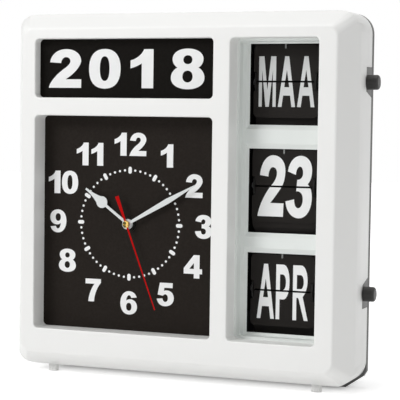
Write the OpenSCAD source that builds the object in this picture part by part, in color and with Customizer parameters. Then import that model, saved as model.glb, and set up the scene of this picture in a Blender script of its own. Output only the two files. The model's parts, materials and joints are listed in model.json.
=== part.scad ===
// Wall clock with a year card, a dial and three split-flap calendar displays.
// Drawn from the front: X to the right, Y from the front plane to the back, Z up from the feet.

/* [Case] */
// Width of the case, without the knobs
case_w = 302; // [272:1:340]
// Height of the case, without the feet
case_h = 300; // [270:1:340]
// Height of the case above the floor
foot_h = 6; // [4:0.5:10]
// Width of the bevel round the front face
bevel_w = 13; // [9:0.5:14]
// Depth of that bevel
bevel_d = 22; // [16:1:30]
// Corner radius of the case outline
corner_r = 17; // [15.5:0.5:24]
// Thickness of the side walls
wall = 2.5; // [1.8:0.1:3.2]
// Thickness of the front wall
front_wall = 3; // [2:0.1:4]
// Radius of the two front pegs
peg_r = 4.25; // [3:0.25:7]
// Distance of the front pegs from the case's sides
peg_in = 32.5; // [24:0.5:60]
// Distance of the front pegs' axes behind the bevel
peg_back = 3.5; // [3:0.5:20]

/* [Rear cover] */
// Depth of the rear cover's edge
cover_d = 6; // [5:0.5:9]
// Thickness of the rear cover's plate
cover_t = 2.5; // [2:0.1:3]
// Width of each rear foot along the floor
foot_w = 20; // [10:1:40]
// Width of the slope outside each rear foot
foot_run = 17; // [12:1:30]
// Height of that slope
foot_rise = 11.5; // [8:0.5:16]
// Size of the blunt edge above that slope
foot_blunt = 2.5; // [1:0.5:4]
// Distance of the keyholes from the middle of the case
keyhole_x = 80; // [40:1:110]
// Distance of the keyholes' wide ends below the case top
keyhole_drop = 20; // [16:1:40]
// Radius of the keyholes' wide ends
keyhole_r = 4.5; // [3:0.25:6]
// Half width of the keyholes' slots
slot_r = 2.25; // [1.5:0.25:2.75]
// Length of the keyholes' slots
slot_l = 8; // [6:0.5:10]
// Width of the battery door's opening
door_w = 62; // [58:1:80]
// Height of the battery door's opening
door_h = 66; // [60:1:80]
// Distance of the opening's middle below the hand centre
door_drop = 5; // [0:0.5:10]
// Width of the ledge that the door lies on
ledge_w = 3; // [2:0.5:5]
// Thickness of that ledge
ledge_t = 2.6; // [1.5:0.1:3.5]

/* [Windows] */
// Border above the windows
border_top = 9; // [6:0.5:14]
// Border below the dial window and the calendar recess
border_bottom = 21; // [16:0.5:30]
// Border left of the year and dial windows
border_left = 12.5; // [10:0.5:20]
// Border right of the calendar recess
border_right = 15; // [14:0.5:22]
// Width of the post between the dial and the calendar recess
post_w = 14.5; // [13:0.5:22]
// Height of the rail between the year and the dial
rail_h = 15; // [13:0.5:22]
// Height of the year window
year_h = 49; // [40:1:60]
// Thickness of the window tunnels
tunnel_wall = 2; // [1.5:0.1:2.5]
// Corner radius of the year and dial windows
window_r = 1.8; // [1:0.1:5]
// Corner radius of the calendar recess
recess_r = 1.8; // [1:0.1:5]
// Depth of the year card behind the front plane
year_depth = 9.5; // [7:0.5:14]
// Depth of the dial behind the front plane
dial_depth = 19; // [18:0.5:22]
// Depth at which the calendar frame begins
recess_depth = 18.5; // [14:0.5:21]
// Thickness of the year card
card_t = 1.2; // [0.8:0.1:2]
// Thickness of the dial plate
dial_t = 1.5; // [1:0.1:2]

/* [Calendar frame] */
// Gap between the flaps and the sides of their window
window_side = 2.5; // [1.5:0.1:4]
// Gap between the upper flap's free edge and the window's top
window_above = 1.3; // [0.8:0.1:2.5]
// Gap between the lower flap's free edge and the window's bottom
window_below = 5.9; // [4:0.1:7]
// Further opening under the date flaps, which hang in steps
date_below = 2.8; // [0:0.1:4]
// Width of the frame beside the windows
frame_side = 7.25; // [6.5:0.25:10]
// Height of the frame above the top window
frame_top = 3.6; // [3.2:0.1:6]
// Height of the frame below the bottom window
frame_bottom = 4.2; // [3.2:0.1:6]
// Thickness of the frame's walls
frame_wall = 2; // [1.5:0.1:2.5]
// Corner radius of the frame's opening
frame_r = 1.5; // [0.5:0.1:3]
// Thickness of the frame's bars
bar_t = 2.8; // [2.2:0.1:3.5]
// Slope width at the sides of a window
sill_side = 2.3; // [1:0.1:3]
// Slope width at the top of a window
sill_top = 4.2; // [2:0.1:5]
// Slope width at the bottom of a window
sill_bottom = 3.7; // [2:0.1:5]
// Square edge left behind those slopes
sill_lip = 0.3; // [0.2:0.1:0.6]
// Thickness of the flange on the housing
flange_t = 2; // [1.5:0.1:3]
// Width of the leaf springs that hold the upper flaps
finger_w = 1.2; // [0.8:0.1:2]
// Thickness of the leaf springs
finger_t = 0.4; // [0.3:0.05:0.6]
// Length of a leaf spring in front of its flap
finger_catch = 2.5; // [1.5:0.1:4]

/* [Flaps] */
// Width of a flap
flap_w = 54.5; // [48:0.5:60]
// Thickness of a flap
flap_t = 0.4; // [0.3:0.05:0.5]
// Gap between the upper and the lower flap
flap_gap = 1.4; // [1:0.1:1.8]
// Radius of a flap's free corners
flap_r = 4; // [2:0.5:6]
// Width of the notch beside a flap's hinge
notch_w = 2.8; // [2.4:0.1:4]
// Height of that notch above the split line
notch_h = 7.6; // [7:0.1:10]
// Height of a flap's hinge ears
ear_h = 1; // [0.8:0.05:1.05]
// Number of weekday flaps
weekday_count = 14; // [14]
// Number of date flaps
date_count = 31; // [31]
// Number of month flaps
month_count = 12; // [12]

/* [Drums] */
// Radius of the circle of hinge holes
pin_circle = 12; // [11:0.1:13]
// Radius of a hinge hole
pin_hole = 0.6; // [0.55:0.01:0.7]
// Rim of a disc outside its hinge holes
disc_rim = 1.5; // [1:0.1:1.7]
// Thickness of a disc
disc_t = 1.5; // [1.2:0.1:1.8]
// Radius of a drum's hub
hub_r = 3.5; // [3.2:0.1:6]
// Radius of a drum's shaft
shaft_r = 2.5; // [2:0.1:2.7]
// Gap between the flaps of neighbouring drums
drum_gap = 2.6; // [2:0.1:6]
// Gap between a falling flap and the front plane
swing_gap = 1.7; // [1:0.1:4]
// Gap between the drums and the rear cover
rear_gap = 4.5; // [4:0.1:8]
// Distance of the side plates from the flaps
plate_side = 3.75; // [3:0.25:5]
// Thickness of the side plates
plate_t = 1.5; // [1.2:0.1:2]
// Radius of the rods between the side plates
rod_r = 1.5; // [1.2:0.1:2]
// Teeth of the link gears between the weekday and date drums
link_teeth = 56; // [54:1:58]
// Thickness of those gears
gear_t = 1.6; // [1.2:0.1:1.8]
// Radius of the studs that carry the link gears
link_stud_r = 1.5; // [1.2:0.1:2]

/* [Knobs] */
// Radius of the knobs
knob_r = 6; // [4.5:0.25:8]
// Distance that the knobs stand out of the case
knob_out = 10; // [7:0.5:14]
// Edge radius of the knobs
knob_edge = 2; // [1:0.25:2.5]
// Half height of the tabs round the knobs' shafts
tab_half = 12; // [9:0.5:14]
// Slope at one end of each tab
tab_slant = 5; // [2:0.5:5.5]

/* [Hands] */
// Gap between the second hand's tip and the dial window
hand_gap = 4.7; // [3:0.1:10]
// Length that the minute hand is shorter than the second hand
minute_short = 6; // [3:0.5:12]
// Length that the hour hand is shorter than the minute hand
hour_short = 20.9; // [15:0.1:26]
// Distance of the hour hand's bulb from its tip
bulb_back = 18.6; // [16:0.1:20]
// Radius of that bulb
bulb_r = 5; // [3.5:0.25:6]
// Width of the hour hand's stem
hour_stem = 2.4; // [1.6:0.1:4]
// Width of the hour hand's tip
hour_tip = 1.8; // [1:0.1:2.5]
// Width of the minute hand at its hub
minute_stem = 2; // [1.4:0.1:4]
// Greatest width of the minute hand
minute_wide = 4.6; // [3.6:0.1:7]
// Distance of its widest place from its tip
minute_taper = 27.5; // [22:0.5:34]
// Width of the minute hand's tip
minute_tip = 0.9; // [0.6:0.1:1.5]
// Width of the second hand's needle
second_needle = 1.4; // [1:0.1:2.4]
// Length of the second hand's tail
second_tail = 24.8; // [16:0.1:28]
// Width of that tail's end
tail_w = 3.4; // [2.4:0.1:4.5]
// Thickness of the hands
hand_t = 0.5; // [0.4:0.05:0.7]
// Radius of the hour and minute hands' hubs
hand_hub_r = 4.25; // [3.8:0.05:5]
// Radius of the second hand's boss
boss_r = 3; // [2.5:0.1:4]
// Shown time, hours after twelve
show_hour = 10; // [0:1:11]
// Shown time, minutes after the hour
show_minute = 10.1; // [0:0.1:59.9]
// Shown time, seconds after the minute
show_second = 26.53; // [0:0.01:59.99]
// Angle by which the hour hand is pressed on ahead of the shown time
hour_lead = 1.3; // [-3:0.1:3]

/* [Movement] */
// Width of the movement
move_w = 56; // [50:0.5:60]
// Height of the movement above the hand centre
move_up = 21; // [20.5:0.5:26]
// Height of the movement below the hand centre
move_down = 37; // [36:0.5:42]
// Thickness of the movement's walls
move_wall = 1.5; // [1.2:0.1:1.8]
// Depth inside the movement
move_depth = 13; // [12.8:0.1:16]
// Radius of the threaded nose through the dial
nose_r = 4; // [3.6:0.1:5]
// Radius of the hour tube
hour_tube_r = 2.5; // [2.3:0.05:2.8]
// Radius of the minute tube
minute_tube_r = 1.7; // [1.4:0.05:1.9]
// Radius of the second arbor
second_r = 0.7; // [0.5:0.05:0.8]
// Module of the hour and minute gears
motion_m = 0.5; // [0.48:0.01:0.52]
// Module of the second pinion and its third wheel
third_m = 0.3; // [0.29:0.01:0.31]
// Module of the rotor's gears
rotor_m = 0.2; // [0.18:0.01:0.22]
// Radius of the battery
battery_r = 7.25; // [7:0.05:7.25]
// Length of the battery with its button
battery_l = 50.5; // [46:0.5:54]
// Room for a contact at each end of the battery
contact_room = 1.25; // [1:0.05:2]
// Radius of the time-setting knob
set_r = 5.5; // [4:0.25:8]
// Depth of the time-setting knob
set_d = 5; // [3:0.5:8]

/* [Screws] */
// Radius of the cover screws' shanks
screw_r = 1.3; // [1:0.05:1.6]
// Length of the cover screws' shanks
screw_l = 14; // [8:0.5:20]
// Radius of the cover screws' heads
head_r = 3; // [2.4:0.1:3.4]
// Height of the cover screws' heads
head_h = 1.7; // [1.2:0.1:2]
// Wall of a screw's boss
boss_wall = 2.65; // [2:0.05:3]
// Radius of the small inner screws' shanks
small_r = 1; // [0.8:0.05:1.1]
// Length of the small screws' shanks
small_l = 5.5; // [4:0.5:6.5]
// Radius of the small screws' heads
small_head_r = 2.2; // [1.8:0.1:2.5]
// Height of the small screws' heads
small_head_h = 1.4; // [1:0.1:1.8]

/* [Clearances] */
// Running clearance of a shaft in its bearing
run_gap = 0.05; // [0.03:0.01:0.08]
// Clearance of a fixed fit
fit_gap = 0.02; // [0.01:0.01:0.04]
// Clearance between pieces that pass each other
pass_gap = 0.3; // [0.2:0.05:0.5]

/* [Hidden] */
$fn = 64;
// Overlap that lets one cut run clean through a wall
through = 1;

// Height of a shown flap above the split line: six of them fill the case between its borders
stack_h = case_h - 2 * bevel_w - border_top - border_bottom;
stack_edges = frame_top + window_above + window_below + frame_bottom;
flap_reach = (stack_h - stack_edges - 4 * pin_circle - 2 * drum_gap) / 6;

// Drums: three axes in a row, set back so that a falling flap stays behind the front plane
drum_pitch = 2 * (flap_reach + pin_circle) + drum_gap;
drum_y = pin_circle + flap_reach + swing_gap;
disc_r = pin_circle + disc_rim;
flap_inner = flap_w / 2 - notch_w;
disc_x = flap_inner + pass_gap;
plate_x = flap_w / 2 + plate_side;

// Case and its windows
half_w = case_w / 2;
half_h = case_h / 2;
mid_z = foot_h + half_h;
case_top = foot_h + case_h;
case_d = drum_y + pin_circle + rear_gap + cover_t;
housing_d = case_d - cover_d;
bevel_slope = bevel_w / bevel_d;
wall_edge = wall * sqrt(bevel_w * bevel_w + bevel_d * bevel_d) / bevel_d;
window_w = flap_w + 2 * window_side;
recess_w = window_w + 2 * frame_side;
window_up = flap_reach + window_above;
window_down = flap_reach + window_below;
recess_x1 = half_w - bevel_w - border_right;
recess_x0 = recess_x1 - recess_w;
left_x0 = -half_w + bevel_w + border_left;
left_x1 = recess_x0 - post_w;
windows_top = case_top - bevel_w - border_top;
calendar_x = (recess_x0 + recess_x1) / 2;
weekday_z = windows_top - frame_top - window_up;
date_z = weekday_z - drum_pitch;
month_z = date_z - drum_pitch;
recess_z0 = month_z - window_down - frame_bottom;
year_z0 = windows_top - year_h;
dial_z1 = year_z0 - rail_h;
year_box = [left_x0, year_z0, left_x1, windows_top];
dial_box = [left_x0, recess_z0, left_x1, dial_z1];
recess_box = [recess_x0, recess_z0, recess_x1, windows_top];
dial_x = (left_x0 + left_x1) / 2;
dial_z = (recess_z0 + dial_z1) / 2;

// Calendar frame
frame_gap = 1.2;
frame_rear = drum_y - pin_circle - frame_gap;
bar_y = frame_rear - bar_t;
finger_gap = 0.2;
finger_y = frame_rear + finger_gap;

// Screw bosses
boss_out = screw_r + boss_wall;
corner_x = half_w - bevel_w;
corner_z = half_h - bevel_w - boss_wall;
boss_sink = 1;
corner_start = bevel_d * (boss_out + boss_sink) / bevel_w;
pilot_spare = 4;
pilot_l = screw_l + pilot_spare;
small_boss_wall = 2.5;
small_boss_r = small_r + small_boss_wall;
post_x = (left_x1 + recess_x0) / 2;
side_x = recess_x1 + tunnel_wall + small_boss_r + pass_gap;
left_boss_x = left_x0 - tunnel_wall - small_boss_r - pass_gap;
rail_z = (dial_z1 + year_z0) / 2;
sill_z = recess_z0 - tunnel_wall - small_boss_r - pass_gap;
year_screw_up = 10;
frame_screw_low = 20;
frame_screw_down = 9;
dial_screw_in = 12;
year_screws = [[left_boss_x, year_z0 + year_screw_up], [post_x, year_z0 + year_screw_up]];
dial_screws = [for (x = [left_x0 + dial_screw_in, left_x1 - dial_screw_in], z = [sill_z, rail_z]) [x, z]];
frame_screw_z = [recess_z0 + frame_screw_low, windows_top - frame_screw_down];
frame_screws = [for (x = [post_x, side_x], z = frame_screw_z) [x, z]];

// Side plates on the calendar frame
plate_tab_t = 1.2;
plate_tab_in = 0.4;
plate_tab_x = recess_w / 2 - frame_wall - plate_tab_in;
plate_tab_half = 5;
plate_tab_up = 18.2;
plate_tab_down = 3.3;
plate_tabs = [date_z - drum_pitch / 2 - plate_tab_down, weekday_z + plate_tab_up];
plate_end = 18;
plate_edge = 0.5;
plate_corner_r = 3;
plate_rear = drum_y + disc_r + plate_edge;
rod_wall = 1.5;
rod_y = plate_rear - rod_r - rod_wall;
rods = [date_z + drum_pitch / 2, date_z - drum_pitch / 2];
tab_screw_r = small_r * 0.85;
tab_screw_l = 3.4;
tab_head_r = 1.8;

// Gear train from the weekday drum to the date drum
day_teeth = 2 * weekday_count;
date_teeth = 2 * date_count;
train_m = 2 * drum_pitch / (day_teeth + date_teeth + 6 * link_teeth);
link_a_z = weekday_z - train_m * (day_teeth + link_teeth) / 2;
link_b_z = link_a_z - train_m * link_teeth;
link_c_z = link_b_z - train_m * link_teeth;
gear_side = 0.4;
gear_x1 = -plate_x - plate_t - gear_side;
gear_x0 = gear_x1 - gear_t;

// Knob tabs
tab_y = drum_y - shaft_r;
knob_gap = 0.5;
shaft_in_knob = 6;

// Hands, from the dial towards the viewer
washer_t = 0.5;
nut_t = 1.7;
nut_rim = 1.8;
washer_rim = 2.6;
nut_y = dial_depth - washer_t - nut_t;
nose_out = 0.2;
nose_y = nut_y - nose_out;
hub_d = 0.7;
hour_gap = 0.4;
hour_y = nose_y - hub_d - hand_t - hour_gap;
minute_gap = 0.9;
minute_y = hour_y - hub_d - minute_gap;
second_gap = 0.8;
second_y = minute_y - hub_d - second_gap;
second_len = min(left_x1 - left_x0, dial_z1 - recess_z0) / 2 - hand_gap;
minute_len = second_len - minute_short;
hour_len = minute_len - hour_short;
minute_angle = 6 * show_minute;
hour_angle = 30 * show_hour + show_minute / 2 + hour_lead;
second_angle = 6 * show_second;

// Movement, its wheels as [front, rear] behind the inside of its front plate
move_y = dial_depth + dial_t;
floor_y = move_y + move_wall;
back_y = floor_y + move_depth;
bay_spare = 2.5;
bay_z = -(move_down - 2 * battery_r - 2 * move_wall - bay_spare);
bay_w = battery_l + 2 * (contact_room + move_wall);
hour_gear_at = [0.5, 1.7];
idler_pinion_at = [0.4, 2.2];
idler_wheel_at = [2.4, 3.6];
cannon_at = [2.2, 3.8];
third_pinion_at = [4.8, 6.4];
clutch_at = [5, 6];
second_pinion_at = [6.8, 8.2];
third_wheel_at = [7, 8];
magnet_at = [7.2, 8.7];
drive_pinion_at = [8.8, 10];
second_wheel_at = [9, 9.8];
drive_wheel_at = [10.2, 11];
rotor_pinion_at = [8.7, 11.1];
board_at = [11.3, 12.3];
cannon_teeth = 10;
idler_teeth = 30;
idler_pinion_teeth = 8;
hour_teeth = 32;
second_teeth = 8;
third_teeth = 60;
clutch_teeth = 64;
second_wheel_teeth = 60;
drive_pinion_teeth = 8;
drive_teeth = 40;
rotor_teeth = 10;
idler_c = [motion_m * (cannon_teeth + idler_teeth) / 2, 0];
set_dir = 60;
set_c = idler_c + motion_m * (idler_teeth + cannon_teeth) / 2 * [cos(set_dir), sin(set_dir)];
third_c = [-third_m * (second_teeth + third_teeth) / 2, 0];
clutch_m = -2 * third_c[0] / (second_teeth + clutch_teeth);
drive_dir = 40;
drive_c = rotor_m * (second_wheel_teeth + drive_pinion_teeth) / 2 * [cos(drive_dir), sin(drive_dir)];
rotor_dir = 80;
rotor_c = drive_c + rotor_m * (drive_teeth + rotor_teeth) / 2 * [cos(rotor_dir), sin(rotor_dir)];
idler_stud_r = 0.8;
third_stud_r = 0.5;
rotor_stud_r = 0.35;
set_shaft_r = 1;
set_seat_d = 1.8;
grip_count = 12;
grip_r = 0.8;
pivot_l = 2;
magnet_r = 2.4;
coil_r = 3.1;
coil_l = 20;
board_post_x = 20;
board_post_r = 1.2;
board_w = 46;
board_low = 12;
coil_gap = 0.6;
coil_z = move_up - move_wall - coil_r - coil_gap;
battery_gap = 1.2;
battery_z = -(move_down - move_wall - battery_r - battery_gap);
battery_y = floor_y + battery_r + pass_gap;

// Teeth: share of the pitch at the foot and at the tip, and heights in modules
tooth_foot = 0.27;
tooth_tip = 0.11;
foot_depth = 0.75;
tip_height = 0.6;

// Turns the phase of one gear into that of the gear it meshes with, which lies in direction dir
function meshed(phase, teeth, next_teeth, dir) =
  dir + 180 - (phase - dir) * teeth / next_teeth + 180 / next_teeth;
function hinge_up(count) = pin_circle * sin(180 / count);
function pin_at(angle) = [drum_y - pin_circle * cos(angle), pin_circle * sin(angle)];
function polar(r, a) = r * [cos(a), sin(a)];

idler_phase = meshed(0, cannon_teeth, idler_teeth, 0);
set_phase = meshed(idler_phase, idler_teeth, cannon_teeth, set_dir);
hour_phase = meshed(0, idler_pinion_teeth, hour_teeth, 180);
third_phase = meshed(0, second_teeth, third_teeth, 180);
clutch_phase = meshed(0, second_teeth, clutch_teeth, 0);
drive_phase = meshed(0, second_wheel_teeth, drive_pinion_teeth, drive_dir);
rotor_phase = meshed(0, drive_teeth, rotor_teeth, rotor_dir);
link_a_phase = meshed(0, day_teeth, link_teeth, -90);
link_b_phase = meshed(link_a_phase, link_teeth, link_teeth, -90);
link_c_phase = meshed(link_b_phase, link_teeth, link_teeth, -90);
date_phase = meshed(link_c_phase, link_teeth, date_teeth, -90);

// Sets the finished pieces about the middle of the part's floor area
module place() translate([-knob_out / 2, -case_d / 2, 0]) children();

// Extrudes an outline drawn in X and Z from depth y0 to depth y1
module deep(y0, y1) translate([0, y1, 0]) rotate([90, 0, 0]) linear_extrude(y1 - y0) children();

// Extrudes an outline drawn in Y and Z from x0 to x1
module across(x0, x1) translate([x0, 0, 0]) rotate([90, 0, 90]) linear_extrude(x1 - x0) children();

// Moves the hand centre's own frame to its place
module at_hands() translate([dial_x, 0, dial_z]) children();

module rounded(x0, z0, x1, z1, r) {
  translate([x0 + r, z0]) square([x1 - x0 - 2 * r, z1 - z0]);
  translate([x0, z0 + r]) square([x1 - x0, z1 - z0 - 2 * r]);
  for (x = [x0 + r, x1 - r], z = [z0 + r, z1 - r]) translate([x, z]) circle(r);
}

module window(box, grow, r) {
  rounded(box[0] - grow, box[1] - grow, box[2] + grow, box[3] + grow, r + grow);
}

module ring(r, bore) {
  difference() {
    circle(r);
    circle(bore);
  }
}

module gear_outline(teeth, m, phase) {
  root = m * (teeth / 2 - foot_depth);
  tip = m * (teeth / 2 + tip_height);
  corners = [[-tooth_foot, root], [-tooth_tip, tip], [tooth_tip, tip], [tooth_foot, root]];
  polygon([for (i = [0 : teeth - 1], c = corners) polar(c[1], phase + (i + c[0]) * 360 / teeth)]);
}

module gear(teeth, m, phase, at, bore) {
  deep(floor_y + at[0], floor_y + at[1]) difference() {
    gear_outline(teeth, m, phase);
    circle(bore);
  }
}

// Case outline and the four wedges that bevel it
module case_outline(inset) {
  rounded(-half_w + inset, foot_h + inset, half_w - inset, case_top - inset, corner_r - inset);
}

module bevel_wedge(half, span) {
  reach = 2;
  translate([0, 0, -span / 2]) linear_extrude(span) polygon([
    [half - bevel_w - bevel_slope * reach, -reach],
    [half + bevel_slope * reach, bevel_d + reach],
    [half + 2 * bevel_w, bevel_d + reach],
    [half + 2 * bevel_w, -reach]
  ]);
}

module bevelled(inset, edge, y0, y1) {
  difference() {
    deep(y0, y1) case_outline(inset);
    translate([0, 0, mid_z]) {
      for (m = [0, 1]) mirror([m, 0, 0]) bevel_wedge(half_w - edge, 2 * case_h);
      for (a = [-90, 90]) rotate([0, a, 0]) bevel_wedge(half_h - edge, 2 * case_w);
    }
  }
}

module corners() {
  for (x = [-corner_x, corner_x], z = [mid_z - corner_z, mid_z + corner_z]) translate([x, z]) children();
}

module spots(places) {
  for (p = places) translate([p[0], p[1]]) children();
}

// Tab beside a knob's shaft; way is 1 where its lower end slopes and -1 where its upper end does
module knob_tab(axis_z, way, gap) {
  translate([0, axis_z]) polygon([
    [tab_y - gap, way * (tab_half + gap)],
    [tab_y - gap, way * (tab_slant - tab_half - gap)],
    [housing_d + through, -way * (tab_half + gap)],
    [housing_d + through, way * (tab_half + gap)]
  ]);
}

module front_housing() {
  color("#ebebe9") place() difference() {
    union() {
      difference() {
        bevelled(0, 0, 0, housing_d);
        bevelled(wall, wall_edge, front_wall, housing_d + through);
      }
      deep(through, year_depth) window(year_box, tunnel_wall, window_r);
      deep(through, dial_depth) window(dial_box, tunnel_wall, window_r);
      deep(through, recess_depth) window(recess_box, tunnel_wall, recess_r);
      deep(corner_start, housing_d) corners() circle(boss_out);
      deep(through, year_depth) spots(year_screws) circle(small_boss_r);
      deep(through, dial_depth) spots(dial_screws) circle(small_boss_r);
      deep(through, recess_depth) spots(frame_screws) circle(small_boss_r);
      for (x = [peg_in - half_w, half_w - peg_in])
        translate([x, bevel_d + peg_back, 0]) cylinder(r = peg_r, h = foot_h + wall / 2);
    }
    deep(-through, year_depth + through) window(year_box, 0, window_r);
    deep(-through, dial_depth + through) window(dial_box, 0, window_r);
    deep(-through, recess_depth + through) window(recess_box, 0, recess_r);
    deep(housing_d - pilot_l, housing_d + through) corners() circle(screw_r + run_gap);
    deep(year_depth - small_l, year_depth + through) spots(year_screws) circle(small_r + run_gap);
    deep(dial_depth - small_l, dial_depth + through) spots(dial_screws) circle(small_r + run_gap);
    deep(recess_depth - small_l, recess_depth + through) spots(frame_screws) circle(small_r + run_gap);
    across(half_w - wall - through, half_w + through) {
      knob_tab(weekday_z, 1, pass_gap);
      knob_tab(month_z, -1, pass_gap);
    }
  }
}

// Outline of the rear cover: the case's, with a sloped foot at each lower corner
module cover_outline() {
  case_outline(0);
  for (m = [0, 1]) mirror([m, 0]) polygon([
    [half_w, foot_h + corner_r],
    [half_w, foot_rise + foot_blunt],
    [half_w - foot_blunt, foot_rise * (1 - foot_blunt / foot_run)],
    [half_w - foot_run, 0],
    [half_w - foot_run - foot_w, 0],
    [half_w - foot_run - foot_w - foot_h, foot_h + wall]
  ]);
}

module door_outline(grow) {
  x = door_w / 2 + grow;
  z = door_h / 2 + grow;
  translate([dial_x, dial_z - door_drop]) rounded(-x, -z, x, z, ledge_w);
}

module keyholes() {
  for (x = [-keyhole_x, keyhole_x]) translate([x, case_top - keyhole_drop]) {
    circle(keyhole_r);
    translate([-slot_r, 0]) square([2 * slot_r, slot_l]);
    translate([0, slot_l]) circle(slot_r);
  }
}

module rear_cover() {
  plate_y = case_d - cover_t;
  color("#4a4a48") place() difference() {
    union() {
      difference() {
        deep(housing_d, case_d) cover_outline();
        deep(housing_d - through, plate_y) case_outline(wall);
      }
      deep(housing_d, plate_y + through / 2) corners() circle(boss_out);
      deep(plate_y - ledge_t, plate_y + through / 2) door_outline(ledge_w);
      intersection() {
        across(half_w - wall + fit_gap, half_w) {
          knob_tab(weekday_z, 1, 0);
          knob_tab(month_z, -1, 0);
        }
        deep(tab_y - through, case_d) case_outline(0);
      }
    }
    deep(plate_y, case_d + through) door_outline(0);
    deep(plate_y - ledge_t - through, case_d) door_outline(-ledge_w);
    deep(plate_y - through, case_d + through) keyholes();
    deep(housing_d - through, case_d + through) corners() circle(screw_r + pass_gap);
    deep(case_d - head_h - fit_gap, case_d + through) corners() circle(head_r + pass_gap);
    across(half_w - wall - through, half_w + through) for (z = [weekday_z, month_z]) {
      translate([drum_y, z]) circle(shaft_r + pass_gap);
      translate([0, z - shaft_r - pass_gap]) square([drum_y, 2 * (shaft_r + pass_gap)]);
    }
  }
}

module cover_screws() {
  color("#8a8c8e") place() for (x = [-corner_x, corner_x], z = [mid_z - corner_z, mid_z + corner_z])
    translate([x, case_d - head_h, z]) {
      deep(-screw_l, 0) circle(screw_r);
      deep(0, head_h - fit_gap) circle(head_r);
    }
}

module small_screw(place_xz, seat_y) {
  translate([place_xz[0], seat_y, place_xz[1]]) {
    deep(-small_l, 0) circle(small_r);
    deep(0, small_head_h) circle(small_head_r);
  }
}

module inner_screws() {
  color("#8a8c8e") place() {
    for (p = year_screws) small_screw(p, year_depth + card_t);
    for (p = dial_screws) small_screw(p, dial_depth + dial_t);
    for (p = frame_screws) small_screw(p, recess_depth + flange_t);
    for (s = [-1, 1], z = plate_tabs)
      translate([calendar_x + s * plate_tab_x, frame_rear + plate_tab_t, z]) {
        deep(-tab_screw_l, 0) circle(tab_screw_r);
        deep(0, small_head_h) circle(tab_head_r);
      }
  }
}

// Ear round a screw, with a neck that runs in direction dir to its plate
module ear(p, dir) {
  translate(p) {
    circle(small_boss_r);
    rotate(dir) translate([0, -small_boss_r]) square([small_boss_r + tunnel_wall, 2 * small_boss_r]);
  }
}

module year_card() {
  color("#14120f") place() deep(year_depth, year_depth + card_t) difference() {
    union() {
      window(year_box, tunnel_wall, window_r);
      ear(year_screws[0], 0);
      ear(year_screws[1], 180);
    }
    spots(year_screws) circle(small_r + pass_gap);
  }
}

module dial_plate() {
  color("#272421") place() deep(dial_depth, dial_depth + dial_t) difference() {
    union() {
      window(dial_box, tunnel_wall, window_r);
      for (p = dial_screws) ear(p, p[1] < dial_z ? 90 : -90);
    }
    spots(dial_screws) circle(small_r + pass_gap);
    translate([dial_x, dial_z]) circle(nose_r + pass_gap);
  }
}

// Window of one display, sloped on all four sides
module sloped_window(axis_z, below) {
  half = window_w / 2;
  slope_y = frame_rear - sill_lip;
  y0 = bar_y - through;
  y1 = frame_rear + through;
  top = axis_z + window_up;
  low = axis_z - window_down - below;
  intersection() {
    translate([calendar_x, 0, low - 2 * sill_bottom]) linear_extrude(top - low + 4 * sill_top) polygon([
      [-half - sill_side, y0],
      [-half - sill_side, bar_y],
      [-half, slope_y],
      [-half, y1],
      [half, y1],
      [half, slope_y],
      [half + sill_side, bar_y],
      [half + sill_side, y0]
    ]);
    across(recess_x0, recess_x1) polygon([
      [y0, low - sill_bottom],
      [bar_y, low - sill_bottom],
      [slope_y, low],
      [y1, low],
      [y1, top],
      [slope_y, top],
      [bar_y, top + sill_top],
      [y0, top + sill_top]
    ]);
    deep(y0 - through, y1 + through) window(recess_box, -frame_wall, frame_wall + frame_r);
  }
}

module calendar_frame() {
  color("#dde2dd") place() difference() {
    union() {
      deep(recess_depth, frame_rear) window(recess_box, 0, recess_r);
      deep(recess_depth, recess_depth + flange_t) {
        window(recess_box, tunnel_wall, recess_r);
        for (p = frame_screws) ear(p, p[0] < calendar_x ? 0 : 180);
      }
    }
    deep(recess_depth - through, bar_y) window(recess_box, -frame_wall, frame_wall + frame_r);
    sloped_window(weekday_z, 0);
    sloped_window(date_z, date_below);
    sloped_window(month_z, 0);
    deep(recess_depth - through, recess_depth + flange_t + through)
      spots(frame_screws) circle(small_r + pass_gap);
    deep(frame_rear + plate_tab_t - tab_screw_l - pass_gap, frame_rear + through)
      for (s = [-1, 1], z = plate_tabs)
        translate([calendar_x + s * plate_tab_x, z]) circle(tab_screw_r + run_gap);
  }
}

module movement_case() {
  inner = move_w / 2 - move_wall;
  bay_inner = bay_w / 2 - move_wall;
  bay_top = bay_z + move_wall;
  color("#2b2b2b") place() at_hands() difference() {
    union() {
      difference() {
        deep(move_y, back_y) {
          rounded(-move_w / 2, -move_down, move_w / 2, move_up, 2 * move_wall);
          rounded(-bay_w / 2, -move_down, bay_w / 2, bay_top, 2 * move_wall);
        }
        deep(floor_y, back_y + through) {
          rounded(-inner, bay_top, inner, move_up - move_wall, move_wall);
          rounded(-bay_inner, move_wall - move_down, bay_inner, bay_z, move_wall);
        }
      }
      deep(nose_y, floor_y) circle(nose_r);
      deep(move_y + through / 2, floor_y + idler_wheel_at[1] + pass_gap)
        translate(idler_c) circle(idler_stud_r);
      deep(move_y + through / 2, floor_y + set_seat_d) translate(set_c) circle(2 * set_shaft_r);
      deep(move_y + through / 2, floor_y + board_at[0]) for (x = [-board_post_x, board_post_x])
        translate([x, coil_z]) circle(board_post_r);
    }
    deep(nose_y - through, floor_y + through) circle(hour_tube_r + run_gap);
    deep(floor_y + pass_gap, floor_y + set_seat_d + through) translate(set_c) circle(set_shaft_r + run_gap);
  }
}

// Stud on the movement's back that carries a wheel whose front face is at the given depth
module back_stud(at, center, r) {
  deep(floor_y + at[0] - pass_gap, back_y + through / 2) translate(center) circle(r);
}

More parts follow.
